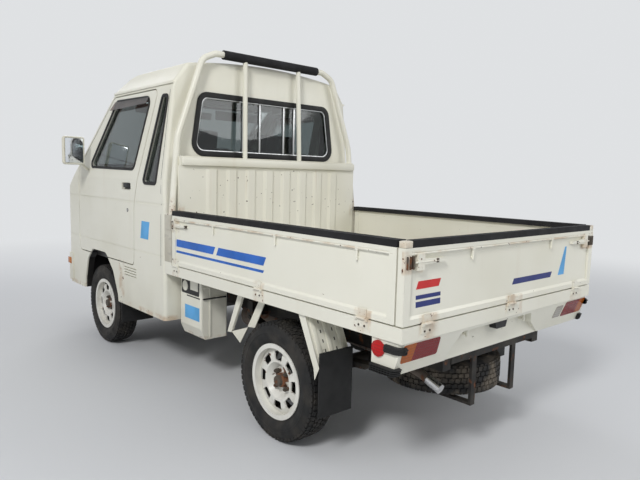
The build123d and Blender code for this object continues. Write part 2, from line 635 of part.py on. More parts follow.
def cab_pieces():
    """Every fixed panel of the cab, both doors and all the glass."""
    outer = softened(cab_form(0.0, 0.0, 0.0, 0.0))
    inner = cab_form(SIDE_WALL, ROOF_WALL, FRONT_WALL, REAR_WALL)
    shell = outer - inner
    pane = cab_form(GLASS_DEPTH, GLASS_DEPTH, GLASS_DEPTH, GLASS_DEPTH)
    behind = GLASS_DEPTH + GLASS
    pane = pane - cab_form(behind, behind, GLASS_DEPTH + GLASS * SCREEN_SLOPE, behind)
    side_range = (CAB_HALF_WIDTH - 130.0, HALF_WIDTH)

    door_hole = prism(grown(DOOR_OUTLINE, MOVING_GAP), "x", *side_range)
    door_body = prism(DOOR_OUTLINE, "x", *side_range)
    door_glass_hole = prism(DOOR_WINDOW, "x", *side_range)
    quarter_hole = prism(QUARTER_WINDOW, "x", *side_range)
    arch = prism([(AXLE_IN_CAB_Y + y, z, r) for y, z, r in FRONT_ARCH], "x", WELL_INNER_X, HALF_WIDTH)
    rear_hole = prism(REAR_WINDOW, "y", CAB_REAR_Y - 3 * REAR_WALL, 0.0)
    screen_hole = prism(WINDSCREEN, "y", *SCREEN_RANGE_Y)
    lamp_pocket = headlamp_block(FACE_GAP)

    door = (shell & door_body) - door_glass_hole - arch
    door_pane = pane & prism(grown(DOOR_WINDOW, -FACE_GAP), "x", *side_range)
    quarter_pane = pane & prism(grown(QUARTER_WINDOW, -FACE_GAP), "x", *side_range)
    rear_pane = pane & prism(grown(REAR_WINDOW, -FACE_GAP), "y", CAB_REAR_Y - 2 * REAR_WALL, 0.0)
    screen_pane = pane & prism(grown(WINDSCREEN, -FACE_GAP), "y", *SCREEN_RANGE_Y)

    fixed = shell - door_hole - mirrored(door_hole) - quarter_hole - mirrored(quarter_hole)
    fixed = fixed - arch - mirrored(arch) - rear_hole - screen_hole - lamp_pocket - mirrored(lamp_pocket)
    for cut in skin_cuts():
        door = door - cut
        fixed = fixed - cut
    lamp = outer & headlamp_block(0.0)
    save_cab("headlamps", lamp, mirrored(lamp))
    wide = 2 * HALF_WIDTH
    roof_zone = block((-wide, wide), (-CAB_REACH, 0.0), (ROOF_SEAM_Z, 2 * ROOF_TOP_Z))
    rear_z = (FLOOR_TOP_Z - FLOOR_SHEET, ROOF_SEAM_Z)
    rear_zone = block((-REAR_SEAM_X, REAR_SEAM_X), (CAB_REAR_Y - 3 * REAR_WALL, 0.0), rear_z)
    front_zone = block((-wide, wide), (-2 * CAB_REACH, FRONT_SEAM_Y), (0.0, ROOF_SEAM_Z))
    left_zone = block((REAR_SEAM_X, wide), (FRONT_SEAM_Y, 0.0), (0.0, ROOF_SEAM_Z))
    roof = (fixed & roof_zone) + gutters(outer)
    rear = fixed & rear_zone
    fixed_half, moving_half = door_hinges()
    front = joined([fixed & front_zone, *fixed_half, *[mirrored(half) for half in fixed_half]])
    left = fixed & left_zone
    right = fixed & mirrored(left_zone)

    save_cab("cab_roof", roof)
    save_cab("cab_rear_wall", rear)
    save_cab("cab_front", front)
    save_cab("cab_side_left", left)
    save_cab("cab_side_right", right)
    save_cab("windscreen", screen_pane)
    save_cab("cab_windows", rear_pane, quarter_pane, mirrored(quarter_pane))
    door = joined([door, door_mirror(), *moving_half])
    save_cab("door_left", door)
    save_cab("door_right", mirrored(door))
    save_cab("door_glass_left", door_pane)
    save_cab("door_glass_right", mirrored(door_pane))


def skin_cuts():
    """Creases, handle recesses, louvres and the front panel's recess, for both sides at once."""
    made = []
    face = (CAB_HALF_WIDTH - CREASE_DEPTH, HALF_WIDTH)
    for z in CREASE_Z:
        made.append(block(face, (NOSE_POINTS[2][0], CAB_REAR_Y), (z, z + CREASE_HEIGHT)))
    handle = block((CAB_HALF_WIDTH - HANDLE_DEPTH, HALF_WIDTH), HANDLE_Y, HANDLE_Z)
    made.append(fillet(handle.edges().filter_by(Axis.X), 10.0))
    for z in LOUVRE_Z:
        made.append(block((CAB_HALF_WIDTH - LOUVRE_DEPTH, HALF_WIDTH), LOUVRE_Y, (z, z + LOUVRE_HEIGHT)))
    made += [mirrored(cut) for cut in made]
    front_y = NOSE_POINTS[2][0]
    panel_y = (front_y - NOSE_BOW, front_y + FRONT_PANEL_DEPTH + 4.0)
    panel = block((-FRONT_PANEL_HALF, FRONT_PANEL_HALF), panel_y, FRONT_PANEL_Z)
    made.append(fillet(panel.edges().filter_by(Axis.Y), 14.0))
    return made


def gutters(outer):
    """The rain gutters along both upper sides of the cab."""
    wide = cab_form(-GUTTER_REACH, 0.0, 0.0, 0.0)
    slab = block((-HALF_WIDTH, HALF_WIDTH), (GUTTER_FRONT_Y, CAB_REAR_Y - 4.0), GUTTER_Z)
    return (wide - outer) & slab


def headlamp_block(clearance):
    """One headlamp and its indicator, let into the front panel."""
    return block(
        (HEADLAMP_X[0] - clearance, HEADLAMP_X[1] + clearance),
        (-CAB_REACH - 20.0, HEADLAMP_BACK_Y + clearance),
        (HEADLAMP_Z[0] - clearance, HEADLAMP_Z[1] + clearance),
    )


def door_hinges():
    """The left door's hinges as two lists: the fixed pins with their lugs, and the barrels on the door."""
    axis_y = DOOR_FRONT_Y - MOVING_GAP / 2
    depth = (CAB_HALF_WIDTH - DOOR_HINGE_RADIUS - 2.0, CAB_HALF_WIDTH)
    fixed, moving = [], []
    for z in DOOR_HINGE_Z:
        low, high = z - DOOR_HINGE_LENGTH / 2, z + DOOR_HINGE_LENGTH / 2
        inner_low, inner_high = low + DOOR_HINGE_LUG, high - DOOR_HINGE_LUG

        def bar(start, end, radius):
            return rod((CAB_HALF_WIDTH, axis_y, start), (CAB_HALF_WIDTH, axis_y, end), radius)

        fixed_web = block(depth, (axis_y - MOVING_GAP / 2 - 2.0, axis_y), (low, high))
        lugs = bar(low, high, DOOR_HINGE_RADIUS) + fixed_web
        gap_x = (CAB_HALF_WIDTH - 12.0, CAB_HALF_WIDTH + 12.0)
        gap = block(gap_x, (axis_y - 3.4, axis_y + 12.0), (inner_low, inner_high))
        fixed.append(lugs - gap + bar(low, high, DOOR_HINGE_PIN))
        low_end, high_end = inner_low + FACE_GAP, inner_high - FACE_GAP
        web = block(depth, (axis_y, axis_y + MOVING_GAP / 2 + 2.0), (low_end, high_end))
        barrel = bar(low_end, high_end, DOOR_HINGE_RADIUS) + web
        moving.append(barrel - bar(low, high, DOOR_HINGE_PIN + HINGE_FIT))
    return fixed, moving


def door_mirror():
    """The door mirror: its housing on an arm from the door's front upper corner."""
    housing = block(MIRROR_X, MIRROR_Y, MIRROR_Z)
    return fillet(housing.edges(), MIRROR_RADIUS) + rod(*MIRROR_ARM, MIRROR_ARM_RADIUS)


def cab_floor():
    """The floor with the engine cover that carries the seats, open below."""
    half = CAB_HALF_WIDTH - SIDE_WALL - FACE_GAP
    front_y = NOSE_POINTS[1][0] + FRONT_WALL + NOSE_BOW + NOSE_RADIUS
    low = FLOOR_TOP_Z - FLOOR_SHEET
    floor = block((-half, half), (front_y, CAB_REAR_Y - REAR_WALL - FACE_GAP), (low, FLOOR_TOP_Z))
    cover = block((-PLATFORM_HALF_WIDTH, PLATFORM_HALF_WIDTH), PLATFORM_Y, (low, PLATFORM_Z))
    sheet = PLATFORM_SHEET
    hollow = block(
        (-PLATFORM_HALF_WIDTH + sheet, PLATFORM_HALF_WIDTH - sheet),
        (PLATFORM_Y[0] + sheet, PLATFORM_Y[1] - sheet),
        (low, PLATFORM_Z - sheet),
    )
    return floor + cover - hollow


def dashboard():
    """The dashboard across the cab with the steering column under it."""
    half = CAB_HALF_WIDTH - SIDE_WALL - MOVING_GAP
    body = prism(DASH_SECTION, "x", -half, half)
    cheek = CAB_HALF_WIDTH - SIDE_WALL - FACE_GAP
    cheek_y = (DASH_FRONT_Y, DOOR_FRONT_Y - MOVING_GAP - 5.0)
    body = body + block((-cheek, cheek), cheek_y, (DASH_SECTION[0][1] + 20.0, DASH_Z - 20.0))
    along = Vector(*COLUMN_HEAD) - Vector(*COLUMN_FOOT)
    end = Vector(*COLUMN_HEAD) - along.normalized() * (HUB_SINK + HUB_DEPTH / 2 + FACE_GAP)
    column = rod(COLUMN_FOOT, (end.X, end.Y, end.Z), COLUMN_RADIUS)
    return body + column


def steering_wheel():
    """The steering wheel: ring, hub and three spokes."""
    along = Vector(*COLUMN_HEAD) - Vector(*COLUMN_FOOT)
    place = Plane(origin=COLUMN_HEAD, x_dir=(1, 0, 0), z_dir=along)
    ring = Torus(WHEEL_RING_RADIUS, WHEEL_RING_TUBE)
    hub = Pos(0, 0, -HUB_SINK) * Cylinder(HUB_RADIUS, HUB_DEPTH)
    spoke = Pos(WHEEL_RING_RADIUS / 2, 0, -SPOKE_SINK) * Box(WHEEL_RING_RADIUS, *SPOKE)
    spokes = [Rot(0, 0, turn) * spoke for turn in (0, 180, 270)]
    return place * joined([ring, hub, *spokes])


def seats():
    """Two seats, each a cushion and a back with a headrest."""
    made = []
    front = PLATFORM_Y[0]
    cushion_y = (front + CUSHION_Y[0], front + CUSHION_Y[1])
    for x in (-CUSHION_X, CUSHION_X):
        side = (x - CUSHION_WIDTH / 2, x + CUSHION_WIDTH / 2)
        cushion = block(side, cushion_y, (PLATFORM_Z + FACE_GAP, PLATFORM_Z + CUSHION_HEIGHT))
        back = prism([(front + y, z) for y, z in BACKREST], "x", *side)
        head = prism([(front + y, z) for y, z in HEADREST], "x", x - HEADREST_HALF, x + HEADREST_HALF)
        made.append(joined([
            fillet(cushion.edges().filter_by(Axis.X), 24.0),
            fillet(back.edges().filter_by(Axis.X), 20.0),
            fillet(head.edges().filter_by(Axis.X), 18.0),
        ]))
    return made


def chassis_frame():
    """The two frame rails with the cab mounts, spring hangers and the tow eye."""
    made = []
    for side in (-1, 1):
        wide = (side * RAIL_X - RAIL_WIDTH / 2, side * RAIL_X + RAIL_WIDTH / 2)
        rail = block(wide, RAIL_Y, RAIL_Z)
        for y in CAB_MOUNT_Y:
            mount_y = (y - CAB_MOUNT_HALF, y + CAB_MOUNT_HALF)
            rail = rail + block(wide, mount_y, (RAIL_Z[1], FLOOR_TOP_Z - FLOOR_SHEET - FACE_GAP))
        hanger_x = sorted((side * RAIL_X, side * (SPRING_X + SPRING_WIDTH / 2)))
        for y in SPRING_Y:
            hanger_y = (y - HANGER_HALF, y + HANGER_HALF)
            rail = rail + block(hanger_x, hanger_y, (SPRING_EYE_Z + FACE_GAP, RAIL_Z[1] - 30.0))
        made.append(rail)
    eye_x = -RAIL_X
    plate = (eye_x - TOW_PLATE / 2, eye_x + TOW_PLATE / 2)
    plate_y = (TOW_EYE_Y - TOW_PLATE_HALF, TOW_EYE_Y + TOW_PLATE_HALF)
    eye = block(plate, plate_y, (TOW_EYE_Z - TOW_PLATE_HALF, RAIL_Z[0] + 10.0))
    left_end, right_end = [(x, TOW_EYE_Y, TOW_EYE_Z) for x in (eye_x - TOW_PLATE, eye_x + TOW_PLATE)]
    made[0] = made[0] + eye - rod(left_end, right_end, TOW_EYE_RADIUS)
    return made


def cross_members():
    """The members between the two rails."""
    half = RAIL_X - RAIL_WIDTH / 2 - FACE_GAP
    return [block((-half, half), (y - CROSS_DEPTH / 2, y + CROSS_DEPTH / 2), CROSS_Z) for y in CROSS_Y]


def spare_carrier():
    """Two flat straps under the spare wheel, hung from the cross members before and behind it."""
    top = SPARE_Z - TYRE_WIDTH / 2 - FACE_GAP
    ends = (CROSS_Y[3] - 15.0, CROSS_Y[4] + CROSS_DEPTH / 2)
    reach = CARRIER_X + CARRIER_HALF
    thick = (top - CARRIER_BAR, top)
    made = [block((-reach, reach), (SPARE_Y - CARRIER_HALF, SPARE_Y + CARRIER_HALF), thick)]
    for x in (-CARRIER_X, CARRIER_X):
        wide = (x - CARRIER_HALF, x + CARRIER_HALF)
        made.append(block(wide, ends, thick))
        for y in ends:
            inward = CARRIER_BAR if y < SPARE_Y else -CARRIER_BAR
            made.append(block(wide, sorted((y, y + inward)), (top - CARRIER_BAR, CROSS_Z[0] - FACE_GAP)))
    return joined(made)


def wheel_place(x_side, axle_y):
    """Where a wheel's centre sits, with the wheel's outer face turned outwards."""
    turn = Rot(0, 0, 0) if x_side > 0 else Rot(0, 0, 180)
    return Pos(x_side * TRACK / 2, axle_y, AXLE_Z) * turn


def tyre():
    """The tyre, turned about the wheel's own axis."""
    inner_half = [(-x, radius, bend) for x, radius, bend in reversed(TYRE_SECTION)]
    whole = [*TYRE_SECTION, (0.0, TYRE_RADIUS, 0.0), *inner_half]
    points = [(x, 0, radius) for x, radius, _ in whole]
    outline = FilletPolyline(*points, radius=[bend for _, _, bend in whole], close=True)
    return revolve(make_face(outline), axis=Axis.X)


def rim():
    """The pressed steel wheel: barrel, dished disc with vent holes and a hub cap."""
    half = RIM_WIDTH / 2
    edge = [
        (half - RIM_SHEET, RIM_RADIUS),
        (half - RIM_SHEET, RIM_FLANGE_RADIUS),
        (half, RIM_FLANGE_RADIUS),
        (half, RIM_RADIUS - RIM_SHEET),
    ]
    barrel = edge + [(-x, radius) for x, radius in reversed(edge)]
    turned = []
    for section in (barrel, DISC_SECTION):
        outline = Polyline(*[(x, 0, radius) for x, radius in section], close=True)
        turned.append(revolve(make_face(outline), axis=Axis.X))
    body = turned[0] + turned[1]
    vent = prism(VENT_OUTLINE, "x", *VENT_X)
    for index in range(VENT_COUNT):
        body = body - Rot(index * 360.0 / VENT_COUNT, 0, 0) * vent
    return body


def brake_drum(side, axle_y):
    """A brake drum that the wheel bolts to."""
    inner, outer = [(side * x, axle_y, AXLE_Z) for x in (TRACK / 2 - DRUM_WIDTH, TRACK / 2)]
    return rod(inner, outer, DRUM_RADIUS)


def knuckle(side):
    """The steering knuckle: upright, brake drum and steering arm."""
    x0, x1 = STEER_X - 20.0, TRACK / 2 - DRUM_WIDTH + 5.0
    upright = block((x0, x1), (FRONT_AXLE_Y - UPRIGHT_HALF, FRONT_AXLE_Y + UPRIGHT_HALF), UPRIGHT_Z)
    arm = block((x0, STEER_X + 5.0), (FRONT_AXLE_Y, FRONT_AXLE_Y + STEER_ARM_LENGTH), STEER_ARM_Z)
    low = UPRIGHT_Z[0] - BALL_DEPTH
    pin = rod((STEER_X, FRONT_AXLE_Y, low), (STEER_X, FRONT_AXLE_Y, UPRIGHT_Z[0] + 1.0), BALL_PIN)
    left = joined([upright, arm, pin, brake_drum(1, FRONT_AXLE_Y)])
    return left if side > 0 else mirrored(left)


def front_suspension():
    """Cross member, lower arms and struts, all fixed to the frame."""

    def along(half):
        return FRONT_AXLE_Y - half, FRONT_AXLE_Y + half

    def upright(x, low, high, radius):
        return rod((x, FRONT_AXLE_Y, low), (x, FRONT_AXLE_Y, high), radius)

    made = [block((-RAIL_X, RAIL_X), along(BEAM_HALF), BEAM_Z)]
    arm_top = ARM_Z[1] - FACE_GAP
    for side in (-1, 1):
        drop_x = sorted((side * DROP_X[0], side * DROP_X[1]))
        drop = block(drop_x, along(DROP_HALF), (ARM_Z[0], BEAM_Z[0] + 10.0))
        arm_x = sorted((side * (DROP_X[0] + 10.0), side * STEER_X))
        arm = block(arm_x, along(ARM_HALF), (ARM_Z[0], arm_top))
        tip = upright(side * STEER_X, ARM_Z[0], arm_top, ARM_HALF)
        hole = upright(side * STEER_X, ARM_Z[1] - BALL_DEPTH - 1.0, ARM_Z[1] + 5.0, BALL_PIN + HINGE_FIT)
        made += [drop, arm + tip - hole]
    strut = upright(STRUT_X, UPRIGHT_Z[1] + FACE_GAP, FLOOR_TOP_Z - FLOOR_SHEET - FACE_GAP, STRUT_RADIUS)
    return joined(made), strut, mirrored(strut)


def rear_axle():
    """The live rear axle: tube, differential housing, drums and leaf springs."""
    reach = TRACK / 2 - DRUM_WIDTH / 2
    tube = rod((-reach, REAR_AXLE_Y, AXLE_Z), (reach, REAR_AXLE_Y, AXLE_Z), AXLE_TUBE_RADIUS)
    housing = Pos(DIFF_X, REAR_AXLE_Y, AXLE_Z) * Sphere(DIFF_RADIUS)
    pinion, back = [(DIFF_X, y, AXLE_Z + PINION_RISE) for y in (REAR_AXLE_Y - DIFF_NOSE, REAR_AXLE_Y)]
    nose = rod(pinion, back, DIFF_NOSE_RADIUS)
    made = [tube, housing, nose, brake_drum(1, REAR_AXLE_Y), brake_drum(-1, REAR_AXLE_Y)]
    first, last = SPRING_Y[0] - 20.0, SPRING_Y[1] + 20.0
    low, high = SPRING_SEAT_Z
    inset, rise = SPRING_TOP
    outline = [(first, SPRING_EYE_Z), (first + inset, rise), (REAR_AXLE_Y, high)]
    outline += [(last - inset, rise), (last, SPRING_EYE_Z)]
    outline += [(last - y, z) for y, z in SPRING_END] + [(REAR_AXLE_Y + y, z) for y, z in SPRING_MIDDLE]
    outline += [(REAR_AXLE_Y, low)] + [(REAR_AXLE_Y - y, z) for y, z in reversed(SPRING_MIDDLE)]
    outline += [(first + y, z) for y, z in reversed(SPRING_END)]
    for side in (-1, 1):
        x = side * SPRING_X
        wide = (x - SPRING_WIDTH / 2, x + SPRING_WIDTH / 2)
        saddle_y = (REAR_AXLE_Y - SPRING_WIDTH, REAR_AXLE_Y + SPRING_WIDTH)
        made += [prism(outline, "x", *wide), block(wide, saddle_y, (AXLE_Z, (low + high) / 2))]
    return joined(made)


def engine():
    """The engine as one plain block between the frame rails, on two mounting arms."""
    rail_face = RAIL_X - RAIL_WIDTH / 2 - FACE_GAP
    body = block((-ENGINE_HALF_WIDTH, ENGINE_HALF_WIDTH), ENGINE_Y, ENGINE_Z)
    middle = sum(ENGINE_Y) / 2
    arm_y = (middle - ENGINE_ARM_HALF, middle + ENGINE_ARM_HALF)
    return body + block((-rail_face, rail_face), arm_y, ENGINE_ARM_Z)


def propshaft():
    """The shaft from the gearbox to the rear axle, with a flange at each end."""
    front_y = ENGINE_Y[1] + FACE_GAP
    rear_y = REAR_AXLE_Y - DIFF_NOSE - FACE_GAP
    low, high = AXLE_Z + PINION_RISE, SHAFT_FRONT_Z
    shaft = rod((DIFF_X, front_y + 12.0, high), (DIFF_X, rear_y - 12.0, low), SHAFT_RADIUS)
    front = rod((DIFF_X, front_y, high), (DIFF_X, front_y + 20.0, high), FLANGE_RADIUS)
    rear = rod((DIFF_X, rear_y - 20.0, low), (DIFF_X, rear_y, low), FLANGE_RADIUS)
    return joined([shaft, front, rear])


def exhaust():
    """The silencer and the tail pipe that leaves beside the spare wheel."""
    front, rear = [(SILENCER_X, y, SILENCER_Z) for y in SILENCER_Y]
    made = [rod(front, rear, SILENCER_RADIUS), pipe(TAIL_PIPE, TAIL_PIPE_RADIUS, TAIL_PIPE_BENDS)]
    half = HANGER_WIDTH / 2
    for x, y, foot in EXHAUST_HANGERS:
        made.append(block((x - half, x + half), (y - half, y + half), (foot, CROSS_Z[0] - FACE_GAP)))
    return joined(made)


def bed_floor():
    """The bed floor plate, its side and rear sills and the cross bearers under it."""
    plate_half = HALF_WIDTH - GATE_THICK - MOVING_GAP
    plate_end = TAIL_FRONT_Y - MOVING_GAP
    under = BED_FLOOR_Z - BED_SHEET
    made = [block((-plate_half, plate_half), (BED_FRONT_Y, plate_end), (under, BED_FLOOR_Z))]
    low = (SILL_BOTTOM_Z, GATE_BOTTOM_Z - MOVING_GAP / 2)
    full = (SILL_BOTTOM_Z, BED_FLOOR_Z)
    for side in (-1, 1):

        def between(inner, outer):
            return sorted((side * (HALF_WIDTH - inner), side * (HALF_WIDTH - outer)))

        made.append(block(between(SILL_WIDTH, 0.0), (BED_FRONT_Y, HALF_LENGTH), low))
        made.append(block(between(SILL_WIDTH, GATE_THICK + MOVING_GAP), (BED_FRONT_Y, plate_end), full))
        made.append(block(between(POST_THICK, 0.0), POST_Y, (SILL_BOTTOM_Z, GATE_TOP_Z)))
        made.append(block(between(0.0, -LATCH_HEIGHT), KEEPER_Y, LATCH_Z))
        for y in BEARERS_ON_RAIL:
            wide = (side * RAIL_X - RAIL_BLOCK_HALF, side * RAIL_X + RAIL_BLOCK_HALF)
            made.append(block(wide, (y, y + BEARER_WIDTH), (RAIL_Z[1], SILL_BOTTOM_Z + 5.0)))
    sill_y = TAIL_FRONT_Y - TAIL_SILL_WIDTH
    made.append(block((-HALF_WIDTH, HALF_WIDTH), (sill_y, HALF_LENGTH), low))
    made.append(block((-TAIL_SILL_HALF, TAIL_SILL_HALF), (sill_y, plate_end), full))
    for y in BEARER_Y:
        made.append(block((-plate_half, plate_half), (y, y + BEARER_WIDTH), (SILL_BOTTOM_Z, under)))
    step_half = HALF_WIDTH - POST_THICK
    step_y = (BED_FRONT_Y - 1.0, HEADBOARD_Y[1] + RIB_HEIGHT + 3.0)
    floor = joined(made) - block((-step_half, step_half), step_y, (FRONT_STEP_Z, BED_FLOOR_Z + 1.0))
    left = [place * hinge_fixed() for place in side_hinge_places()]
    rear = [place * hinge_fixed() for place in tail_hinge_places()]
    return joined([floor, *left, *[mirrored(hinge) for hinge in left], *rear])


def hinge_fixed():
    """A gate hinge's fixed half along Y, its axis at the origin, the sill's face towards -X."""
    face = -HINGE_OFFSET
    reach = HINGE_LENGTH / 2
    leaf = block((face, face + HINGE_LEAF), (-reach, reach), (-HINGE_LEAF_HEIGHT, -HINGE_RADIUS - 1.0))
    lug_z = (-HINGE_RADIUS - 1.5, HINGE_LUG_TOP)
    lugs = [
        block((face, HINGE_LUG), sorted((side * (reach - HINGE_LUG_LENGTH), side * reach)), lug_z)
        for side in (-1, 1)
    ]
    pin = rod((0, -reach, 0), (0, reach, 0), HINGE_PIN)
    return joined([leaf, *lugs, pin])


def hinge_moving():
    """The half on the gate: a barrel round the pin and the leaf above it."""
    reach = HINGE_LENGTH / 2 - HINGE_LUG_LENGTH - FACE_GAP
    barrel = rod((0, -reach, 0), (0, reach, 0), HINGE_RADIUS)
    leaf = block((-HINGE_OFFSET, -HINGE_OFFSET + HINGE_LEAF), (-reach, reach), (0.0, HINGE_LEAF_HEIGHT))
    return barrel + leaf - rod((0, -HINGE_LENGTH, 0), (0, HINGE_LENGTH, 0), HINGE_PIN + HINGE_FIT)


def side_hinge_places():
    """Where the left gate's hinges stand."""
    return [Pos(HALF_WIDTH + HINGE_OFFSET, y, HINGE_Z) for y in SIDE_HINGE_Y]


def tail_hinge_places():
    """Where the tailgate's hinges stand, turned to face the rear."""
    return [Pos(x, HALF_LENGTH + HINGE_OFFSET, HINGE_Z) * Rot(0, 0, 90) for x in TAIL_HINGE_X]


def gate_end(outer, start):
    """One end border of the left gate, as thick as the gate."""
    low = GATE_BOTTOM_Z + GATE_SECTION[0][1]
    return block((outer - GATE_THICK, outer), (start, start + GATE_BORDER), (low, GATE_TOP_Z))


def hook():
    """A rope hook hanging below a gate's rail, its panel towards -X, its head at the origin."""
    drop = HOOK_Z[0] - HOOK_Z[1]
    head = block((-10.0, 0.0), (-7.0, 7.0), (-14.0, 4.0))
    pin = rod((-HOOK_RADIUS, 0, -10.0), (-HOOK_RADIUS, 0, drop), HOOK_RADIUS)
    foot = rod((-14.0, 0, drop + 8.0), (-HOOK_RADIUS, 0, drop + 8.0), HOOK_RADIUS)
    return joined([head, pin, foot])


def latch(width):
    """A latch body and its lever on a gate, the gate's face towards -X, the lever along +Y."""
    middle = (LATCH_Z[0] + LATCH_Z[1]) / 2
    body = block((-12.0, LATCH_HEIGHT), (0.0, width), LATCH_Z)
    start, end = width - 2.0, width + LEVER_LENGTH
    outline = [(start, middle - 11.0), (end, middle - 6.0), (end, middle + 4.0), (start, middle + 11.0)]
    return body + prism(outline, "x", -12.5, LATCH_HEIGHT - 1.0)


def side_gate():
    """The left drop side, swung about its lower edge."""
    outer = HALF_WIDTH
    section = [(outer + x, GATE_BOTTOM_Z + z) for x, z in GATE_SECTION]
    panel = prism(section, "y", SIDE_GATE_START_Y, SIDE_GATE_END_Y)
    ends = [gate_end(outer, y) for y in (SIDE_GATE_START_Y, SIDE_GATE_END_Y - GATE_BORDER)]
    hooks = [Pos(outer, y, HOOK_Z[1]) * hook() for y in SIDE_HOOK_Y]
    hinges = [place * hinge_moving() for place in side_hinge_places()]
    catch = Pos(outer, SIDE_GATE_START_Y + 2.0, 0) * latch(GATE_BORDER - 4.0)
    return joined([panel, *ends, *hooks, catch, *hinges])


def tailgate():
    """The tailgate across the whole width."""
    outer = HALF_LENGTH
    turn = Pos(0, outer, 0) * Rot(0, 0, 90)
    section = [(x, GATE_BOTTOM_Z + z) for x, z in GATE_SECTION]
    panel = turn * prism(section, "y", -HALF_WIDTH, HALF_WIDTH)
    ends = [turn * gate_end(0.0, y) for y in (-HALF_WIDTH, HALF_WIDTH - GATE_BORDER)]
    hooks = [Pos(x, outer, HOOK_Z[1]) * Rot(0, 0, 90) * hook() for x in TAIL_HOOK_X]
    right = turn * Pos(0, HALF_WIDTH - GATE_BORDER - 30.0, 0) * mirror(latch(34.0), about=Plane.XZ)
    left = mirrored(right)
    hinges = [place * hinge_moving() for place in tail_hinge_places()]
    return joined([panel, *ends, *hooks, left, right, *hinges])


def gate_pads():
    """The black pads on the gates' top rails."""
    z = (GATE_TOP_Z + FACE_GAP, GATE_TOP_Z + PAD_HEIGHT)
    side = block((HALF_WIDTH - PAD_WIDTH, HALF_WIDTH), (SIDE_GATE_START_Y, SIDE_GATE_END_Y), z)
    tail = block((-HALF_WIDTH + 40.0, HALF_WIDTH - 40.0), (TAIL_FRONT_Y, HALF_LENGTH), z)
    return side, tail


def guard_point(x, z):
    """A point of the guard's leaning plane."""
    share = (z - GATE_TOP_Z) / (GUARD_TOP_Z - GATE_TOP_Z)
    return (x, GUARD_BASE[1] + share * (GUARD_TOP_Y - GUARD_BASE[1]), z)


def guard_bars(radius):
    """The two upright bars in front of the rear window."""
    return [
        rod(
            guard_point(side * GUARD_BAR_X, GUARD_RAIL_Z[1] - 10.0),
            guard_point(side * (GUARD_BAR_X - 8.0), GUARD_TOP_Z),
            radius,
        )
        for side in (-1, 1)
    ]


def guard_frame():
    """The pipe guard behind the cab with its ledge rail, two bars and the corrugated headboard."""
    x, y = GUARD_BASE
    at = guard_point
    path = [at(x, GATE_TOP_Z + GUARD_FOOT_HEIGHT - 2.0), *[at(*corner) for corner in GUARD_CORNERS]]
    other = [(-px, py, pz) for px, py, pz in reversed(path)]
    hoop = pipe(path + other, GUARD_PIPE_RADIUS, GUARD_BENDS + GUARD_BENDS[::-1])
    foot_y = (y - GUARD_FOOT_HALF, y + GUARD_FOOT_HALF)
    foot_z = (GATE_TOP_Z + FACE_GAP, GATE_TOP_Z + GUARD_FOOT_HEIGHT)
    feet = [
        block(sorted((side * (x - GUARD_FOOT_X[0]), side * (x + GUARD_FOOT_X[1]))), foot_y, foot_z)
        for side in (-1, 1)
    ]
    rail = block((-GUARD_RAIL_HALF, GUARD_RAIL_HALF), (BED_FRONT_Y + 8.0, HEADBOARD_Y[1]), GUARD_RAIL_Z)
    bars = guard_bars(GUARD_BAR_RADIUS)
    inside = HALF_WIDTH - POST_THICK - FACE_GAP
    sheet = block((-inside, inside), HEADBOARD_Y, (FRONT_STEP_Z + FACE_GAP, GUARD_RAIL_Z[0] + 5.0))
    ribs = [
        prism(
            [
                (x - RIB_BASE / 2, HEADBOARD_Y[1] - 1.0),
                (x + RIB_BASE / 2, HEADBOARD_Y[1] - 1.0),
                (x + RIB_TOP / 2, HEADBOARD_Y[1] + RIB_HEIGHT),
                (x - RIB_TOP / 2, HEADBOARD_Y[1] + RIB_HEIGHT),
            ],
            "z",
            BED_FLOOR_Z + RIB_MARGIN,
            GUARD_RAIL_Z[0] - RIB_MARGIN,
        )
        for x in RIB_X
    ]
    return joined([hoop, rail, *bars, sheet, *feet, *ribs])


def guard_pad():
    """The black pad round the guard's top pipe."""
    place = Pos(0, GUARD_TOP_Y, GUARD_TOP_Z) * Rot(0, 90, 0)
    outer = place * Cylinder(GUARD_PIPE_RADIUS + GUARD_PAD_THICK, 2 * GUARD_PAD_HALF)
    inner = place * Cylinder(GUARD_PIPE_RADIUS + FACE_GAP, 2 * GUARD_PAD_HALF)
    left_bar, right_bar = guard_bars(GUARD_BAR_RADIUS + FACE_GAP)
    return outer - inner - left_bar - right_bar


def valance_back(clearance):
    """The slanted rear body of the valance, its corners rounded in plan."""
    section = [
        (VALANCE_INNER_Y, VALANCE_Z[0]),
        (VALANCE_LOW_Y - clearance, VALANCE_Z[0]),
        (VALANCE_TOP_Y - clearance, VALANCE_Z[1] - FACE_GAP),
        (VALANCE_INNER_Y, VALANCE_Z[1] - FACE_GAP),
    ]
    back = prism(section, "x", -VALANCE_HALF_WIDTH, VALANCE_HALF_WIDTH)
    half, corner = VALANCE_HALF_WIDTH, VALANCE_CORNER
    plan = [
        (-half, VALANCE_RETURN_Y, 0.0),
        (half, VALANCE_RETURN_Y, 0.0),
        (half, VALANCE_TOP_Y, corner),
        (-half, VALANCE_TOP_Y, corner),
    ]
    return back & prism(plan, "z", VALANCE_Z[0] - 5.0, VALANCE_Z[1])


def lamp_zone(outline, clearance):
    """A lamp's body in the valance: its outline cut off parallel to the slanted face."""
    body = prism(grown(outline, clearance), "y", VALANCE_LOW_Y - LAMP_DEPTH, HALF_LENGTH)
    slope = [
        (VALANCE_LOW_Y - LAMP_DEPTH + 8.0 - clearance, VALANCE_Z[0]),
        (HALF_LENGTH + 40.0, VALANCE_Z[0]),
        (HALF_LENGTH + 40.0, VALANCE_Z[1]),
        (VALANCE_TOP_Y - LAMP_DEPTH - clearance, VALANCE_Z[1]),
    ]
    return body & prism(slope, "x", -HALF_WIDTH, HALF_WIDTH)


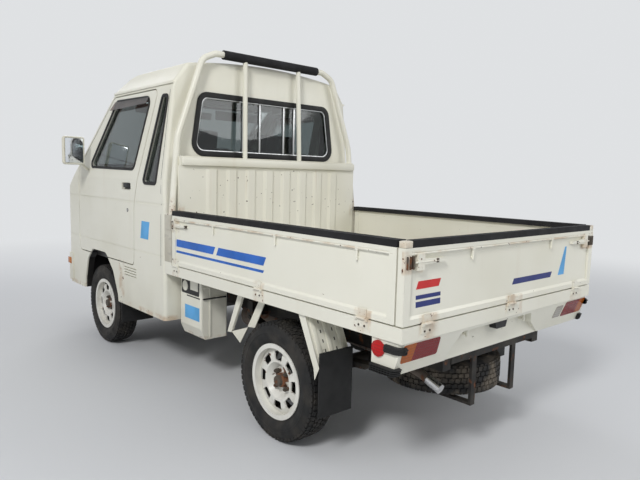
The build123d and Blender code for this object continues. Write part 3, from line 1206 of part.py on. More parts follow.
def rear_valance():
    """The pressed panel under the tailgate that carries the lamps, returned round both corners."""
    z = (VALANCE_Z[0], VALANCE_Z[1] - FACE_GAP)
    inner = VALANCE_HALF_WIDTH - VALANCE_RETURN
    side_y = (VALANCE_RETURN_Y, VALANCE_INNER_Y + 4.0)
    sides = [block(sorted((side * inner, side * VALANCE_HALF_WIDTH)), side_y, z) for side in (-1, 1)]
    body = joined([valance_back(0.0), *sides])
    lamp = lamp_zone(LAMP_OUTLINE, FACE_GAP)
    body = body - lamp - mirrored(lamp) - lamp_zone(REVERSE_OUTLINE, FACE_GAP)
    body = body - prism(RECESS_OUTLINE, "y", RECESS_FACE_Y, HALF_LENGTH + 10.0)
    for x in (PLATE_X - PLATE_BOLT_SPACING / 2, PLATE_X + PLATE_BOLT_SPACING / 2):
        body = body - rod((x, VALANCE_INNER_Y - 5.0, PLATE_Z), (x, HALF_LENGTH, PLATE_Z), PLATE_BOLT_RADIUS)
    hooks = []
    y = RECESS_FACE_Y + VALANCE_HOOK_OUT
    low, high = VALANCE_HOOK_Z
    for x in VALANCE_HOOK_X:
        stem = rod((x, RECESS_FACE_Y - 4.0, low + 8.0), (x, y, low + 8.0), 5.0)
        hooks.append(rod((x, y, low), (x, y, high), 6.0) + stem)
    return joined([body, *hooks])


def tail_lamps():
    """The two lamp clusters and the single reversing lamp set into the valance."""
    shape = valance_back(-2.0)
    lamp = lamp_zone(LAMP_OUTLINE, 0.0) & shape
    return lamp, mirrored(lamp), lamp_zone(REVERSE_OUTLINE, 0.0) & shape


def plate_lamp():
    """The number plate's lamp under the arch of the recess."""
    return prism(PLATE_LAMP_OUTLINE, "y", RECESS_FACE_Y + FACE_GAP, RECESS_FACE_Y + PLATE_LAMP_DEPTH)


def corner_buffers():
    """The rubber buffers on the valance's corners."""
    made = []
    for side in (-1, 1):
        wide = sorted((side * (VALANCE_HALF_WIDTH + FACE_GAP), side * (VALANCE_HALF_WIDTH + BUFFER_THICK)))
        for start, end, low, high in BUFFERS:
            made.append(block(wide, (HALF_LENGTH - start, HALF_LENGTH - end), (low, high)))
    return made


def mud_guards():
    """The ribbed plates behind the rear wheels."""
    plate = prism([(REAR_AXLE_Y + y, z) for y, z in MUD_GUARD], "x", *MUD_GUARD_X)
    rib = [(REAR_AXLE_Y + y, z) for y, z in MUD_RIB]
    for x in MUD_RIB_X:
        plate = plate + prism(rib, "x", x - MUD_RIB_HALF, x + MUD_RIB_HALF)
    return plate, mirrored(plate)


def mud_flaps():
    """The rubber flaps behind all four wheels."""
    rear_y = (REAR_AXLE_Y + REAR_FLAP_Y, REAR_AXLE_Y + REAR_FLAP_Y + REAR_FLAP_THICK)
    rear = block((MUD_GUARD_X[0], FLAP_OUTER_X), rear_y, REAR_FLAP_Z)
    front_y = (FRONT_AXLE_Y + FRONT_FLAP_Y[0], FRONT_AXLE_Y + FRONT_FLAP_Y[1])
    wide = block((FRONT_FLAP_X, FLAP_OUTER_X), front_y, (FRONT_FLAP_Z, SILL_Z - FACE_GAP))
    tall_x = (FRONT_FLAP_X, CAB_HALF_WIDTH - SIDE_WALL - FACE_GAP)
    front = wide + block(tall_x, front_y, (FRONT_FLAP_Z, FLOOR_TOP_Z - FLOOR_SHEET - FACE_GAP))
    return front, mirrored(front), rear, mirrored(rear)


def spare():
    """The spare wheel lying flat under the bed's rear."""
    place = Pos(0, SPARE_Y, SPARE_Z) * Rot(0, 90, 0)
    return place * tyre(), place * rim()


def battery_box():
    """The battery box under the bed's left front corner, its lower outer edge cut away."""
    high = SILL_BOTTOM_Z - FACE_GAP
    inner, outer = BATTERY_X
    inset, rise = BATTERY_CHAMFER
    outer_side = [(outer - inset, BATTERY_Z), (outer, BATTERY_Z + rise), (outer, high)]
    start = BEARER_Y[0]
    shape = prism([(inner, BATTERY_Z), *outer_side, (inner, high)], "y", start, start + BATTERY_LENGTH)
    return fillet(shape.edges().filter_by(Axis.Z), BATTERY_RADIUS)


def fuel_tank():
    """The fuel tank under the bed's right side, before the spring's front hanger."""
    return block(TANK_X, (BED_FRONT_Y + 93.0, SPRING_Y[0] - HANGER_HALF - 8.0), TANK_Z)


def front_bumper():
    """The front bumper, wrapped round both front corners."""
    half = HALF_WIDTH - 2.0
    right = [
        (half, BUMPER_END_Y, 0.0),
        (half, BUMPER_CORNER[1], BUMPER_RADIUS),
        (BUMPER_CORNER[0], -CAB_REACH, BUMPER_RADIUS),
    ]
    whole = prism([(-x, y, r) for x, y, r in right] + right[::-1], "z", *BUMPER_Z)
    for low in INTAKE_Z:
        slot_y = (-CAB_REACH - 5.0, -CAB_REACH + INTAKE_DEPTH)
        whole = whole - block((-INTAKE_HALF, INTAKE_HALF), slot_y, (low, low + INTAKE_HEIGHT))
    inside = CAB_HALF_WIDTH + FACE_GAP
    behind = block((-inside, inside), (BUMPER_RETURN_Y, 0.0), (0.0, BUMPER_Z[1] + 50.0))
    return whole - behind - cab_form(0.0, 0.0, 0.0, 0.0)


def main():
    os.makedirs("parts", exist_ok=True)
    cab_pieces()
    save_cab("cab_floor", cab_floor())
    save_cab("dashboard", dashboard())
    save_cab("steering_wheel", steering_wheel())
    save_cab("seats", *seats())
    save("chassis_frame", *chassis_frame())
    save("cross_members", *cross_members())
    save("engine", engine())
    save("fuel_tank", fuel_tank())
    save("spare_carrier", spare_carrier())
    save("battery_box", battery_box())
    save("exhaust", exhaust())
    save("propshaft", propshaft())
    save("front_suspension", *front_suspension())
    save("rear_axle", rear_axle())
    save("bed_floor", bed_floor())
    save("guard_frame", guard_frame())
    save("guard_pad", guard_pad())
    save("side_gate_left", side_gate())
    save("side_gate_right", mirrored(side_gate()))
    save("tailgate", tailgate())
    side_pad, tail_pad = gate_pads()
    save("side_pad_left", side_pad)
    save("side_pad_right", mirrored(side_pad))
    save("tailgate_pad", tail_pad)
    save("rear_valance", rear_valance())
    save("tail_lamps", *tail_lamps())
    save("plate_lamp", plate_lamp())
    save("corner_buffers", *corner_buffers())
    save("mud_guards", *mud_guards())
    save("mud_flaps", *mud_flaps())
    spare_tyre, spare_rim = spare()
    save("spare_tyre", spare_tyre)
    save("spare_rim", spare_rim)
    save_cab("front_bumper", front_bumper())
    save("knuckle_left", knuckle(1))
    save("knuckle_right", knuckle(-1))
    for end, axle_y in (("front", FRONT_AXLE_Y), ("rear", REAR_AXLE_Y)):
        for name, side in (("left", 1), ("right", -1)):
            place = wheel_place(side, axle_y)
            save(f"tyre_{end}_{name}", place * tyre())
            save(f"rim_{end}_{name}", place * rim())


main()
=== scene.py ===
import math
from functools import lru_cache

import bmesh
import bpy
from mathutils import Matrix, Vector
from mathutils.bvhtree import BVHTree


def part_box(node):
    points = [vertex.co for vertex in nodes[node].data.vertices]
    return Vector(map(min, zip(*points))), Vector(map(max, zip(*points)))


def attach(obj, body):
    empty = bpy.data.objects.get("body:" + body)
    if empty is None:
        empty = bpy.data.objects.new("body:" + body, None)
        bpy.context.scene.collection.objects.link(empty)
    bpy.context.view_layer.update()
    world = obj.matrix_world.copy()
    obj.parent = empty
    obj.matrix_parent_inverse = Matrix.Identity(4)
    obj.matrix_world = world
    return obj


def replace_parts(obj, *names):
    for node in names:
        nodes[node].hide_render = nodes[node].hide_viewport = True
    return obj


bl_info = {
    "name": "Kei Truck Looks",
    "version": (1, 0, 0),
    "blender": (4, 5, 0),
    "location": "View3D > Sidebar > Kei Truck",
    "description": "Dresses the packed kei truck with paint, rubber, lamps, tyres and small parts",
    "category": "Object",
}

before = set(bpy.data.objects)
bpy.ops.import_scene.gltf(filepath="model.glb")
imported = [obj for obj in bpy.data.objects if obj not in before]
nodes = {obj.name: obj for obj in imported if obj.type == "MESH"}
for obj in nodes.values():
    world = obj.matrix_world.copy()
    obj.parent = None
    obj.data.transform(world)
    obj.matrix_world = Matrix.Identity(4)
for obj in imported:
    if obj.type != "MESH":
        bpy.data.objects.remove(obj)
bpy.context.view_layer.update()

# Places taken from the frame, in metres
TYRE_LOW, TYRE_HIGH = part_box("tyre_rear_left")
WHEEL_RADIUS = (TYRE_HIGH.z - TYRE_LOW.z) / 2
WHEEL_X = (TYRE_HIGH.x + TYRE_LOW.x) / 2
TYRE_HALF_WIDTH = (TYRE_HIGH.x - TYRE_LOW.x) / 2
REAR_AXLE_Y = (TYRE_HIGH.y + TYRE_LOW.y) / 2
FRONT_AXLE_Y = sum(corner.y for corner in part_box("tyre_front_left")) / 2
AXLE_Z = (TYRE_HIGH.z + TYRE_LOW.z) / 2

# The bed and its gates
HALF_WIDTH = 0.6975
HALF_LENGTH = 1.6475
GATE_FOOT_Z = 0.6655
GATE_TOP_Z = 0.929
UNDER_BED_Z = 0.6088
SIDE_HINGE_Y = (0.095, 0.837, 1.464)
TAIL_HINGE_X = (0.569, 0.024, -0.540)
LATCH_Z = (0.858, 0.902)
LATCH_END_Z = (0.8715, 0.8865)
ROPE_RAIL_Z = 0.9078
ROPE_RAIL_RADIUS = 0.0048
VALANCE_HALF_WIDTH = 0.690
BOX_FACE_X = 0.6122
STRIPE_THICKNESS = 0.0006

# A pair of rivets, and the turns that lay its heads flat on a side and on the rear
RIVET_PAIR = {"Count": 2, "Sides": 12, "Head Radius": 0.0042}
SIDEWAYS = (0.0, math.pi / 2, 0.0)
REARWARD = (math.pi / 2, 0.0, 0.0)

# The cab's faces and window outlines, as (a, b, corner radius)
CAB_REAR_Y = -0.05
SIDE_FOOT = (0.690, 1.110)
SIDE_HEAD = (0.635, 1.625)
FRONT_FACE_Y = -1.6335
SCREEN_BASE = (-1.490, 1.170)
SCREEN_HEAD = (-0.905, 1.648)
SCREEN_BOW = 2.465
REAR_WINDOW = [(-0.520, 1.265, 0.06), (0.520, 1.265, 0.06), (0.470, 1.592, 0.05), (-0.470, 1.592, 0.05)]
WINDSCREEN = [(-0.590, 1.196, 0.05), (0.590, 1.196, 0.05), (0.548, 1.628, 0.06), (-0.548, 1.628, 0.06)]
DOOR_WINDOW = [(-1.150, 1.180, 0.025), (-0.450, 1.168, 0.04), (-0.300, 1.580, 0.04), (-0.778, 1.588, 0.03)]
QUARTER_WINDOW = [
    (-0.312, 1.092, 0.022), (-0.150, 1.090, 0.022), (-0.092, 1.572, 0.022), (-0.160, 1.574, 0.022),
]

# The camera that took the photograph
CAMERA_PLACE = (2.138, 2.846, 1.1567)
CAMERA_YAW = -2.2991
CAMERA_PITCH = 0.1106
CAMERA_ROLL = -0.0248
CAMERA_LENS = 32.503

SIDES = ((1, "left"), (-1, "right"))
WHEELS = [
    ("front_left", 1, FRONT_AXLE_Y), ("front_right", -1, FRONT_AXLE_Y),
    ("rear_left", 1, REAR_AXLE_Y), ("rear_right", -1, REAR_AXLE_Y),
]


def side_x(z):
    """The cab side's distance from the middle at a height."""
    if z < SIDE_FOOT[1]:
        return SIDE_FOOT[0]
    lean = (SIDE_HEAD[0] - SIDE_FOOT[0]) / (SIDE_HEAD[1] - SIDE_FOOT[1])
    return SIDE_FOOT[0] + (z - SIDE_FOOT[1]) * lean


def screen_y(x, z):
    """The windscreen's place at a point seen from the front."""
    slope = (SCREEN_HEAD[0] - SCREEN_BASE[0]) / (SCREEN_HEAD[1] - SCREEN_BASE[1])
    return SCREEN_BASE[0] + (z - SCREEN_BASE[1]) * slope + SCREEN_BOW - math.sqrt(SCREEN_BOW**2 - x**2)


def front_y(x):
    """The front panel's place, bowed back towards its ends."""
    return FRONT_FACE_Y + 0.022 * (x / 0.61) ** 2


# Materials


def opaque(colour):
    """A colour with its alpha, or a socket as it is."""
    return (*colour, 1.0) if isinstance(colour, tuple) else colour


class Finish:
    """A procedural material under construction: nodes are added by short calls that return sockets."""

    def __init__(self, name, colour, roughness, **sockets):
        self.material = bpy.data.materials.new(name)
        self.material.use_nodes = True
        self.tree = self.material.node_tree
        self.shader = self.tree.nodes["Principled BSDF"]
        self.shader.inputs["Base Color"].default_value = opaque(colour)
        self.shader.inputs["Roughness"].default_value = roughness
        for socket, value in sockets.items():
            self.shader.inputs[socket.replace("_", " ")].default_value = value
        self.material.diffuse_color = opaque(colour)
        self.place = self.add("ShaderNodeTexCoord").outputs["Object"]
        split = self.add("ShaderNodeSeparateXYZ")
        self.link(self.place, split.inputs[0])
        self.x, self.y, self.z = split.outputs

    def add(self, kind, **settings):
        node = self.tree.nodes.new(kind)
        for key, value in settings.items():
            setattr(node, key, value)
        return node

    def link(self, start, end):
        self.tree.links.new(start, end)

    def put(self, value, socket):
        if isinstance(value, (int, float, tuple)):
            socket.default_value = value
        else:
            self.link(value, socket)

    def noise(self, scale, detail, stretch=None):
        node = self.add("ShaderNodeTexNoise")
        node.inputs["Scale"].default_value = scale
        node.inputs["Detail"].default_value = detail
        place = self.place
        if stretch:
            mapping = self.add("ShaderNodeMapping")
            mapping.inputs["Scale"].default_value = stretch
            self.link(place, mapping.inputs["Vector"])
            place = mapping.outputs[0]
        self.link(place, node.inputs["Vector"])
        return node.outputs["Fac"]

    def waves(self, direction, scale):
        node = self.add("ShaderNodeTexWave", bands_direction=direction, wave_profile="SIN")
        node.inputs["Scale"].default_value = scale
        self.link(self.place, node.inputs["Vector"])
        return node.outputs["Fac"]

    def step(self, value, low, high, start=0.0, end=1.0):
        """Rises from start at low to end at high."""
        node = self.add("ShaderNodeMapRange", interpolation_type="SMOOTHSTEP")
        for index, number in enumerate((low, high, start, end)):
            node.inputs[index + 1].default_value = number
        self.put(value, node.inputs[0])
        return node.outputs[0]

    def sum(self, a, b, operation="ADD"):
        node = self.add("ShaderNodeMath", operation=operation, use_clamp=operation == "ADD")
        self.put(a, node.inputs[0])
        self.put(b, node.inputs[1])
        return node.outputs[0]

    def times(self, a, b):
        return self.sum(a, b, "MULTIPLY")

    def less(self, a, b):
        return self.sum(a, b, "SUBTRACT")

    def size(self, value):
        return self.sum(value, 0.0, "ABSOLUTE")

    def band(self, value, low, high, soft):
        """One between two values, falling to nothing over a soft edge outside them."""
        return self.times(self.step(value, low - soft, low), self.step(value, high, high + soft, 1.0, 0.0))

    def mix(self, factor, a, b):
        node = self.add("ShaderNodeMix", data_type="RGBA")
        self.put(factor, node.inputs["Factor"])
        self.put(opaque(a), node.inputs[6])
        self.put(opaque(b), node.inputs[7])
        return node.outputs[2]

    def rust_tone(self, scale):
        """Rust that changes between its dark and its bright colour."""
        return self.mix(self.step(self.noise(scale, 3.0), 0.35, 0.65), DARK_RUST, RUST)

    def colour(self, value):
        self.link(value, self.shader.inputs["Base Color"])

    def rough(self, value):
        self.link(value, self.shader.inputs["Roughness"])

    def bump(self, value, strength, distance):
        node = self.add("ShaderNodeBump")
        node.inputs["Strength"].default_value = strength
        node.inputs["Distance"].default_value = distance
        self.link(value, node.inputs["Height"])
        self.link(node.outputs[0], self.shader.inputs["Normal"])


RUST = (0.17, 0.062, 0.024)
DARK_RUST = (0.055, 0.028, 0.017)
LIGHT_RUST = (0.45, 0.27, 0.13)
DUST = (0.42, 0.39, 0.31)
CREAM = (0.78, 0.765, 0.665)
CREAM_WORN = (0.71, 0.69, 0.575)
UNDERSEAL = (0.020, 0.019, 0.018)

# A zone with no bands holds everywhere
EVERYWHERE = [[]]


def worn_zones(f, zones):
    """One inside any of the zones; a zone is a list of bands (axis, low, high, soft) that hold together."""
    places = {"x": f.size(f.x), "y": f.y, "z": f.z}
    worn = 0.0
    for zone in zones:
        inside = 1.0
        for axis, low, high, soft in zone:
            inside = f.times(inside, f.band(places[axis], low, high, soft))
        worn = f.sum(worn, inside)
    return worn


def hinge_zones(*heights):
    """Round the hinges of the side gates and the tailgate, within a band of heights when one is given."""
    reach = 0.036
    side, rear = ("x", 0.694, 0.712, 0.003), ("y", 1.644, 1.662, 0.003)
    zones = [[side, *heights, ("y", y - reach, y + reach, 0.012)] for y in SIDE_HINGE_Y]
    return zones + [[rear, *heights, ("x", abs(x) - reach, abs(x) + reach, 0.012)] for x in TAIL_HINGE_X]


def cream_coat(f, zones):
    """Old cream-white paint as two sockets: its colour, and how rusty it is."""
    coat = f.mix(f.step(f.noise(1.7, 3.0), 0.35, 0.75), CREAM, CREAM_WORN)
    dust = f.times(f.step(f.z, 0.62, 0.27), f.step(f.noise(5.0, 6.0), 0.30, 0.70))
    coat = f.mix(f.times(dust, 0.30), coat, DUST)
    streaks = f.step(f.noise(11.0, 5.0, (1.0, 1.0, 0.10)), 0.60, 0.78)
    coat = f.mix(f.times(streaks, 0.08), coat, LIGHT_RUST)
    worn = worn_zones(f, zones)
    stain = f.times(worn, f.step(f.noise(13.0, 5.0), 0.40, 0.72))
    coat = f.mix(f.times(stain, 0.55), coat, LIGHT_RUST)
    flecks = f.step(f.sum(f.noise(80.0, 3.0), f.times(worn, 0.09)), 0.765, 0.785)
    chips = f.step(f.sum(f.noise(34.0, 5.0), f.times(worn, 0.11)), 0.780, 0.800)
    rust = f.sum(flecks, chips)
    return f.mix(rust, coat, f.rust_tone(55.0)), rust


def white_paint(name, zones, spotted=None, sealed=None):
    """Cream-white paint on a panel, with zones of small rust spots and of black underseal when asked."""
    f = Finish(name, CREAM, 0.35, Specular_IOR_Level=0.35, Coat_Weight=0.06, Coat_Roughness=0.35)
    colour, rust = cream_coat(f, zones)
    if spotted:
        near = worn_zones(f, spotted)
        spots = f.times(f.step(f.noise(52.0, 1.0), 0.735, 0.755), near)
        colour = f.mix(spots, colour, DARK_RUST)
        runs = f.step(f.noise(30.0, 2.0, (1.0, 1.0, 0.05)), 0.62, 0.80)
        colour = f.mix(f.times(f.times(runs, near), 0.25), colour, LIGHT_RUST)
    if sealed:
        colour = f.mix(worn_zones(f, sealed), colour, UNDERSEAL)
    f.colour(colour)
    gloss = f.step(f.noise(18.0, 4.0), 0.2, 0.9, 0.30, 0.44)
    chalky_roof = f.step(f.z, 1.66, 1.74, 0.0, 0.28)
    f.rough(f.sum(f.times(rust, 0.4), f.sum(gloss, chalky_roof)))
    f.bump(f.sum(f.noise(3.5, 2.0), f.times(rust, 0.5)), 0.2, 0.0012)
    return f.material


def cab_paint(name):
    """The cab's paint, worn at its lower edge and behind the front arch, black in the arch and before it."""
    zones = [[("z", 0.330, 0.352, 0.02)], [("z", 0.352, 0.60, 0.02), ("y", -0.66, -0.60, 0.02)]]
    height = ("z", 0.20, 0.636, 0.006)
    arch_front = FRONT_AXLE_Y - 0.300
    arch = [("x", 0.0, 0.680, 0.002), ("y", arch_front, FRONT_AXLE_Y + 0.345, 0.010), height]
    nose = [("x", 0.0, 0.640, 0.005), ("y", -1.575, arch_front, 0.010), height]
    return white_paint(name, zones, sealed=[arch, nose])


def bed_paint(name):
    """The bed's paint, worn at the hinges, the latches, the guard's feet and the box's lower edge."""
    latch = ("z", 0.846, 0.914, 0.010)
    zones = hinge_zones(("z", 0.630, 0.700, 0.006))
    zones += [
        [latch, ("y", 0.050, 0.100, 0.020), ("x", 0.68, 0.71, 0.005)],
        [latch, ("y", 1.636, 1.662, 0.004), ("x", 0.60, 0.70, 0.020)],
        [("z", 0.920, 1.000, 0.050), ("y", -0.050, 0.050, 0.020), ("x", 0.63, 0.70, 0.020)],
        [("z", 0.262, 0.284, 0.012), ("y", -0.050, 0.250, 0.010)],
    ]
    headboard = [("z", 0.940, 1.180, 0.020), ("y", 0.015, 0.060, 0.004), ("x", 0.0, 0.600, 0.020)]
    return white_paint(name, zones, spotted=[headboard])


def floor_paint(name):
    """The floor's node: cream outside on the sills, scratched and dusty inside the gates."""
    f = Finish(name, (0.60, 0.58, 0.51), 0.45)
    outside, sill_rust = cream_coat(f, hinge_zones())
    inside = f.mix(f.step(f.noise(4.0, 5.0), 0.3, 0.7), (0.60, 0.58, 0.50), (0.47, 0.44, 0.36))
    scratches = f.step(f.noise(30.0, 8.0, (6.0, 0.35, 1.0)), 0.56, 0.66)
    inside = f.mix(f.times(scratches, 0.5), inside, (0.36, 0.34, 0.30))
    spots = f.step(f.noise(16.0, 8.0), 0.66, 0.72)
    inside = f.mix(f.times(spots, 0.7), inside, LIGHT_RUST)
    top = f.step(f.z, 0.6745, 0.6780)
    f.colour(f.mix(top, outside, inside))
    f.rough(f.sum(f.times(top, 0.25), f.step(f.noise(18.0, 4.0), 0.2, 0.9, 0.28, 0.45)))
    f.bump(f.sum(f.times(f.sum(scratches, spots), top), f.times(sill_rust, 0.5)), 0.35, 0.001)
    return f.material


def wheel_paint(name):
    """White wheel enamel, rusty round the hub and the vents, with painted shade making the rim's back and its
    well near black; the distance is taken from the nearer axle.
    """
    f = Finish(name, (0.74, 0.73, 0.68), 0.35)
    middle = (REAR_AXLE_Y + FRONT_AXLE_Y) / 2
    reach = (REAR_AXLE_Y - FRONT_AXLE_Y) / 2
    along = f.less(f.size(f.less(f.y, middle)), reach)
    up = f.less(f.z, AXLE_Z)
    distance = f.sum(f.sum(f.times(along, along), f.times(up, up)), 0.5, "POWER")
    dirt = f.step(f.noise(16.0, 6.0), 0.35, 0.75)
    base = f.mix(f.times(dirt, 0.30), (0.74, 0.73, 0.67), (0.38, 0.34, 0.28))
    out = f.size(f.x)
    # Painted shade: the rim's back and the well behind its face are made near black.
    back = f.step(out, WHEEL_X + 0.006, WHEEL_X + 0.002)
    painted_well_shade = f.times(f.step(distance, 0.126, 0.129), f.step(out, WHEEL_X + 0.0205, WHEEL_X + 0.0185))
    base = f.mix(f.sum(back, painted_well_shade), base, (0.030, 0.026, 0.022))
    edges = f.times(f.band(distance, 0.086, 0.131, 0.004), 0.13)
    near = f.step(distance, 0.085, 0.030, 0.0, 0.36)
    rust = f.step(f.sum(f.noise(24.0, 5.0), f.sum(near, edges)), 0.74, 0.82)
    f.colour(f.mix(rust, base, f.rust_tone(40.0)))
    f.rough(f.sum(f.times(rust, 0.45), 0.32))
    f.bump(f.sum(rust, f.noise(40.0, 4.0)), 0.3, 0.001)
    return f.material


def spare_paint(name):
    f = Finish(name, (0.34, 0.31, 0.27), 0.6)
    f.colour(f.mix(f.step(f.noise(14.0, 7.0), 0.42, 0.6), (0.42, 0.39, 0.34), RUST))
    f.bump(f.noise(60.0, 6.0), 0.4, 0.001)
    return f.material


def tyre_rubber(name, dusty):
    f = Finish(name, (0.016, 0.016, 0.016), 0.72, Specular_IOR_Level=0.3)
    dust = f.times(f.step(f.noise(11.0, 7.0), 0.38, 0.70), dusty)
    f.colour(f.mix(dust, (0.015, 0.015, 0.015), (0.24, 0.20, 0.15)))
    f.rough(f.step(f.noise(30.0, 4.0), 0.2, 0.8, 0.6, 0.85))
    f.bump(f.noise(180.0, 4.0), 0.25, 0.0006)
    return f.material


def plain_dark(name, colour, roughness, grain, depth, fading=0.5):
    """A plastic, foam, vinyl or sticker with a fine grain and faint fading."""
    f = Finish(name, colour, roughness, Specular_IOR_Level=0.3)
    faded = tuple(min(1.0, c * (1.0 + fading) + 0.004) for c in colour)
    f.colour(f.mix(f.step(f.noise(6.0, 5.0), 0.35, 0.7), colour, faded))
    f.rough(f.step(f.noise(22.0, 4.0), 0.2, 0.8, roughness - 0.08, roughness + 0.1))
    f.bump(f.noise(grain, 3.0), 0.35, depth)
    return f.material


def sticker(name, colour):
    return plain_dark(name, colour, 0.45, 60.0, 0.0002, 0.3)


def rusty_black(name, colour, amount):
    """A dark or bare metal part under dust, with patches of rust."""
    f = Finish(name, colour, 0.6, Specular_IOR_Level=0.25)
    dust = f.step(f.noise(7.0, 6.0), 0.40, 0.70)
    base = f.mix(f.times(dust, 0.35), colour, (0.13, 0.11, 0.085))
    rust = f.step(f.noise(19.0, 7.0), 0.58 - amount, 0.68 - amount)
    f.colour(f.mix(f.times(rust, 0.85), base, f.rust_tone(45.0)))
    f.rough(f.sum(f.times(rust, 0.2), 0.55))
    f.bump(f.noise(90.0, 6.0), 0.35, 0.001)
    return f.material


def bare_metal(name, colour, roughness, stretch=None):
    f = Finish(name, colour, roughness, Metallic=1.0)
    f.rough(f.step(f.noise(60.0, 5.0, stretch), 0.2, 0.8, roughness - 0.08, roughness + 0.14))
    f.bump(f.noise(120.0, 4.0, stretch), 0.12, 0.0005)
    return f.material


def window_glass(name, colour):
    """Clear or smoked glass with faint smears."""
    f = Finish(name, colour, 0.03, Transmission_Weight=1.0, IOR=1.45)
    f.rough(f.step(f.noise(8.0, 6.0), 0.45, 0.75, 0.015, 0.09))
    return f.material


def lamp_glass(name, inner, outer=None, edge=2.0, clear=None):
    """A ribbed lens in one colour, or two split at a distance from the middle, with a clear part if asked."""
    f = Finish(name, inner, 0.15, Specular_IOR_Level=0.22)
    colour = f.mix(f.step(f.size(f.x), edge - 0.0008, edge + 0.0008), inner, outer or inner)
    if clear:
        colour = f.mix(f.step(f.size(f.x), 0.4634, 0.4642), clear, colour)
    ribs = f.waves("X", 55.0)
    steps = f.waves("Z", 28.0)
    colour = f.mix(f.step(f.times(ribs, steps), 0.2, 0.8, 0.30, 0.0), colour, (0.05, 0.02, 0.02))
    f.colour(f.mix(f.times(f.noise(12.0, 5.0), 0.15), colour, (0.10, 0.05, 0.04)))
    f.bump(f.sum(ribs, f.times(steps, 0.5)), 0.4, 0.0012)
    return f.material


# Each finish: its slot's name, the maker and its settings
FINISHES = {
    "cab paint": ("body_white", cab_paint),
    "bed paint": ("body_white", bed_paint),
    "worn rail paint": ("body_white", white_paint, EVERYWHERE),
    "bed floor paint": ("body_white", floor_paint),
    "wheel enamel": ("wheel_white", wheel_paint),
    "spare wheel enamel": ("wheel_white", spare_paint),
    "tyre rubber": ("tyre_black", tyre_rubber, 0.10),
    "dusty tyre rubber": ("tyre_black", tyre_rubber, 0.6),
    "foam pad": ("trim_black", plain_dark, (0.011, 0.011, 0.012), 0.85, 140.0, 0.0012),
    "black rubber": ("trim_black", plain_dark, (0.011, 0.011, 0.011), 0.6, 220.0, 0.0004),
    "black plastic": ("trim_black", plain_dark, (0.014, 0.014, 0.015), 0.5, 260.0, 0.0004),
    "dash plastic": ("dash_grey", plain_dark, (0.035, 0.037, 0.04), 0.6, 320.0, 0.0005),
    "cabin vinyl": ("seat_vinyl", plain_dark, (0.06, 0.064, 0.07), 0.55, 200.0, 0.0008, 0.25),
    "frame black": ("frame_black", rusty_black, (0.014, 0.013, 0.012), -0.01),
    "engine metal": ("engine_metal", rusty_black, (0.08, 0.08, 0.08), 0.02),
    "exhaust steel": ("steel_dull", rusty_black, (0.15, 0.12, 0.10), 0.05),
    "rusty bolt": ("steel_dull", rusty_black, (0.075, 0.062, 0.050), 0.04),
    "bright steel": ("steel_dull", bare_metal, (0.60, 0.60, 0.60), 0.22),
    "aluminium trim": ("steel_dull", bare_metal, (0.55, 0.56, 0.56), 0.36, (1.0, 1.0, 0.1)),
    "mirror silver": ("steel_dull", bare_metal, (0.80, 0.83, 0.86), 0.09),
    "window glass": ("glass_clear", window_glass, (0.31, 0.35, 0.35)),
    "visor smoke": ("trim_black", window_glass, (0.26, 0.18, 0.16)),
    "tail lens": (
        "lamp_lens", lamp_glass, (0.25, 0.005, 0.009), (0.50, 0.12, 0.008), 0.612, (0.50, 0.48, 0.42),
    ),
    "headlamp lens": ("headlamp_lens", lamp_glass, (0.52, 0.55, 0.57), (0.66, 0.20, 0.015), 0.536),
    "amber lens": ("lamp_lens", lamp_glass, (0.68, 0.20, 0.015)),
    "red reflector": ("lamp_lens", lamp_glass, (0.58, 0.006, 0.008)),
    "blue stripe": ("trim_black", sticker, (0.02, 0.11, 0.42)),
    "dark blue stripe": ("trim_black", sticker, (0.02, 0.03, 0.14)),
    "light blue stripe": ("trim_black", sticker, (0.09, 0.32, 0.60)),
    "red stripe": ("trim_black", sticker, (0.45, 0.02, 0.02)),
}


def finish(name):
    """The named material, made when it is first asked for."""
    _, maker, *settings = FINISHES[name]
    return bpy.data.materials.get(name) or maker(name, *settings)


# Mesh helpers


def piece(name, mesh, material, body, smooth=35.0):
    """An object from a bmesh, its normals outward, riding on a body."""
    bmesh.ops.recalc_face_normals(mesh, faces=mesh.faces)
    data = bpy.data.meshes.new(name)
    mesh.to_mesh(data)
    mesh.free()
    return dressed(name, data, material, body, smooth)


def dressed(name, data, material, body, smooth=35.0):
    """An object from a mesh, riding on a body; a piece's name holds no blanks."""
    name = name.replace(" ", "_")
    data.name = name
    data.polygons.foreach_set("use_smooth", [True] * len(data.polygons))
    data.set_sharp_from_angle(angle=math.radians(smooth))
    item = bpy.data.objects.new(name, data)
    bpy.context.scene.collection.objects.link(item)
    data.materials.clear()
    data.materials.append(finish(material))
    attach(item, body)
    return item


def add_block(mesh, low, high, round_by=0.0):
    """A block between two corners, its edges rounded when asked."""
    size = [b - a for a, b in zip(low, high)]
    middle = [(a + b) / 2 for a, b in zip(low, high)]
    place = Matrix.Translation(middle) @ Matrix.Diagonal((*size, 1.0))
    made = bmesh.ops.create_cube(mesh, size=1.0, matrix=place)
    if round_by:
        edges = list({edge for vert in made["verts"] for edge in vert.link_edges})
        bmesh.ops.bevel(mesh, geom=edges, offset=round_by, segments=2, affect="EDGES", profile=0.5)


def add_side_block(mesh, sign, low, high, round_by=0.0):
    """A block given by its corners on the left side, made on that side or mirrored to the right."""
    if sign < 0:
        low, high = (-high[0], *low[1:]), (-low[0], *high[1:])
    add_block(mesh, low, high, round_by)


def add_rod(mesh, start, end, radius, sides, end_radius=None):
    """A round bar between two points, or a cone when the end has its own radius."""
    start, end = Vector(start), Vector(end)
    along = end - start
    place = Matrix.Translation((start + end) / 2) @ along.to_track_quat("Z", "Y").to_matrix().to_4x4()
    bmesh.ops.create_cone(
        mesh, cap_ends=True, segments=sides, radius1=radius,
        radius2=radius if end_radius is None else end_radius, depth=along.length, matrix=place,
    )


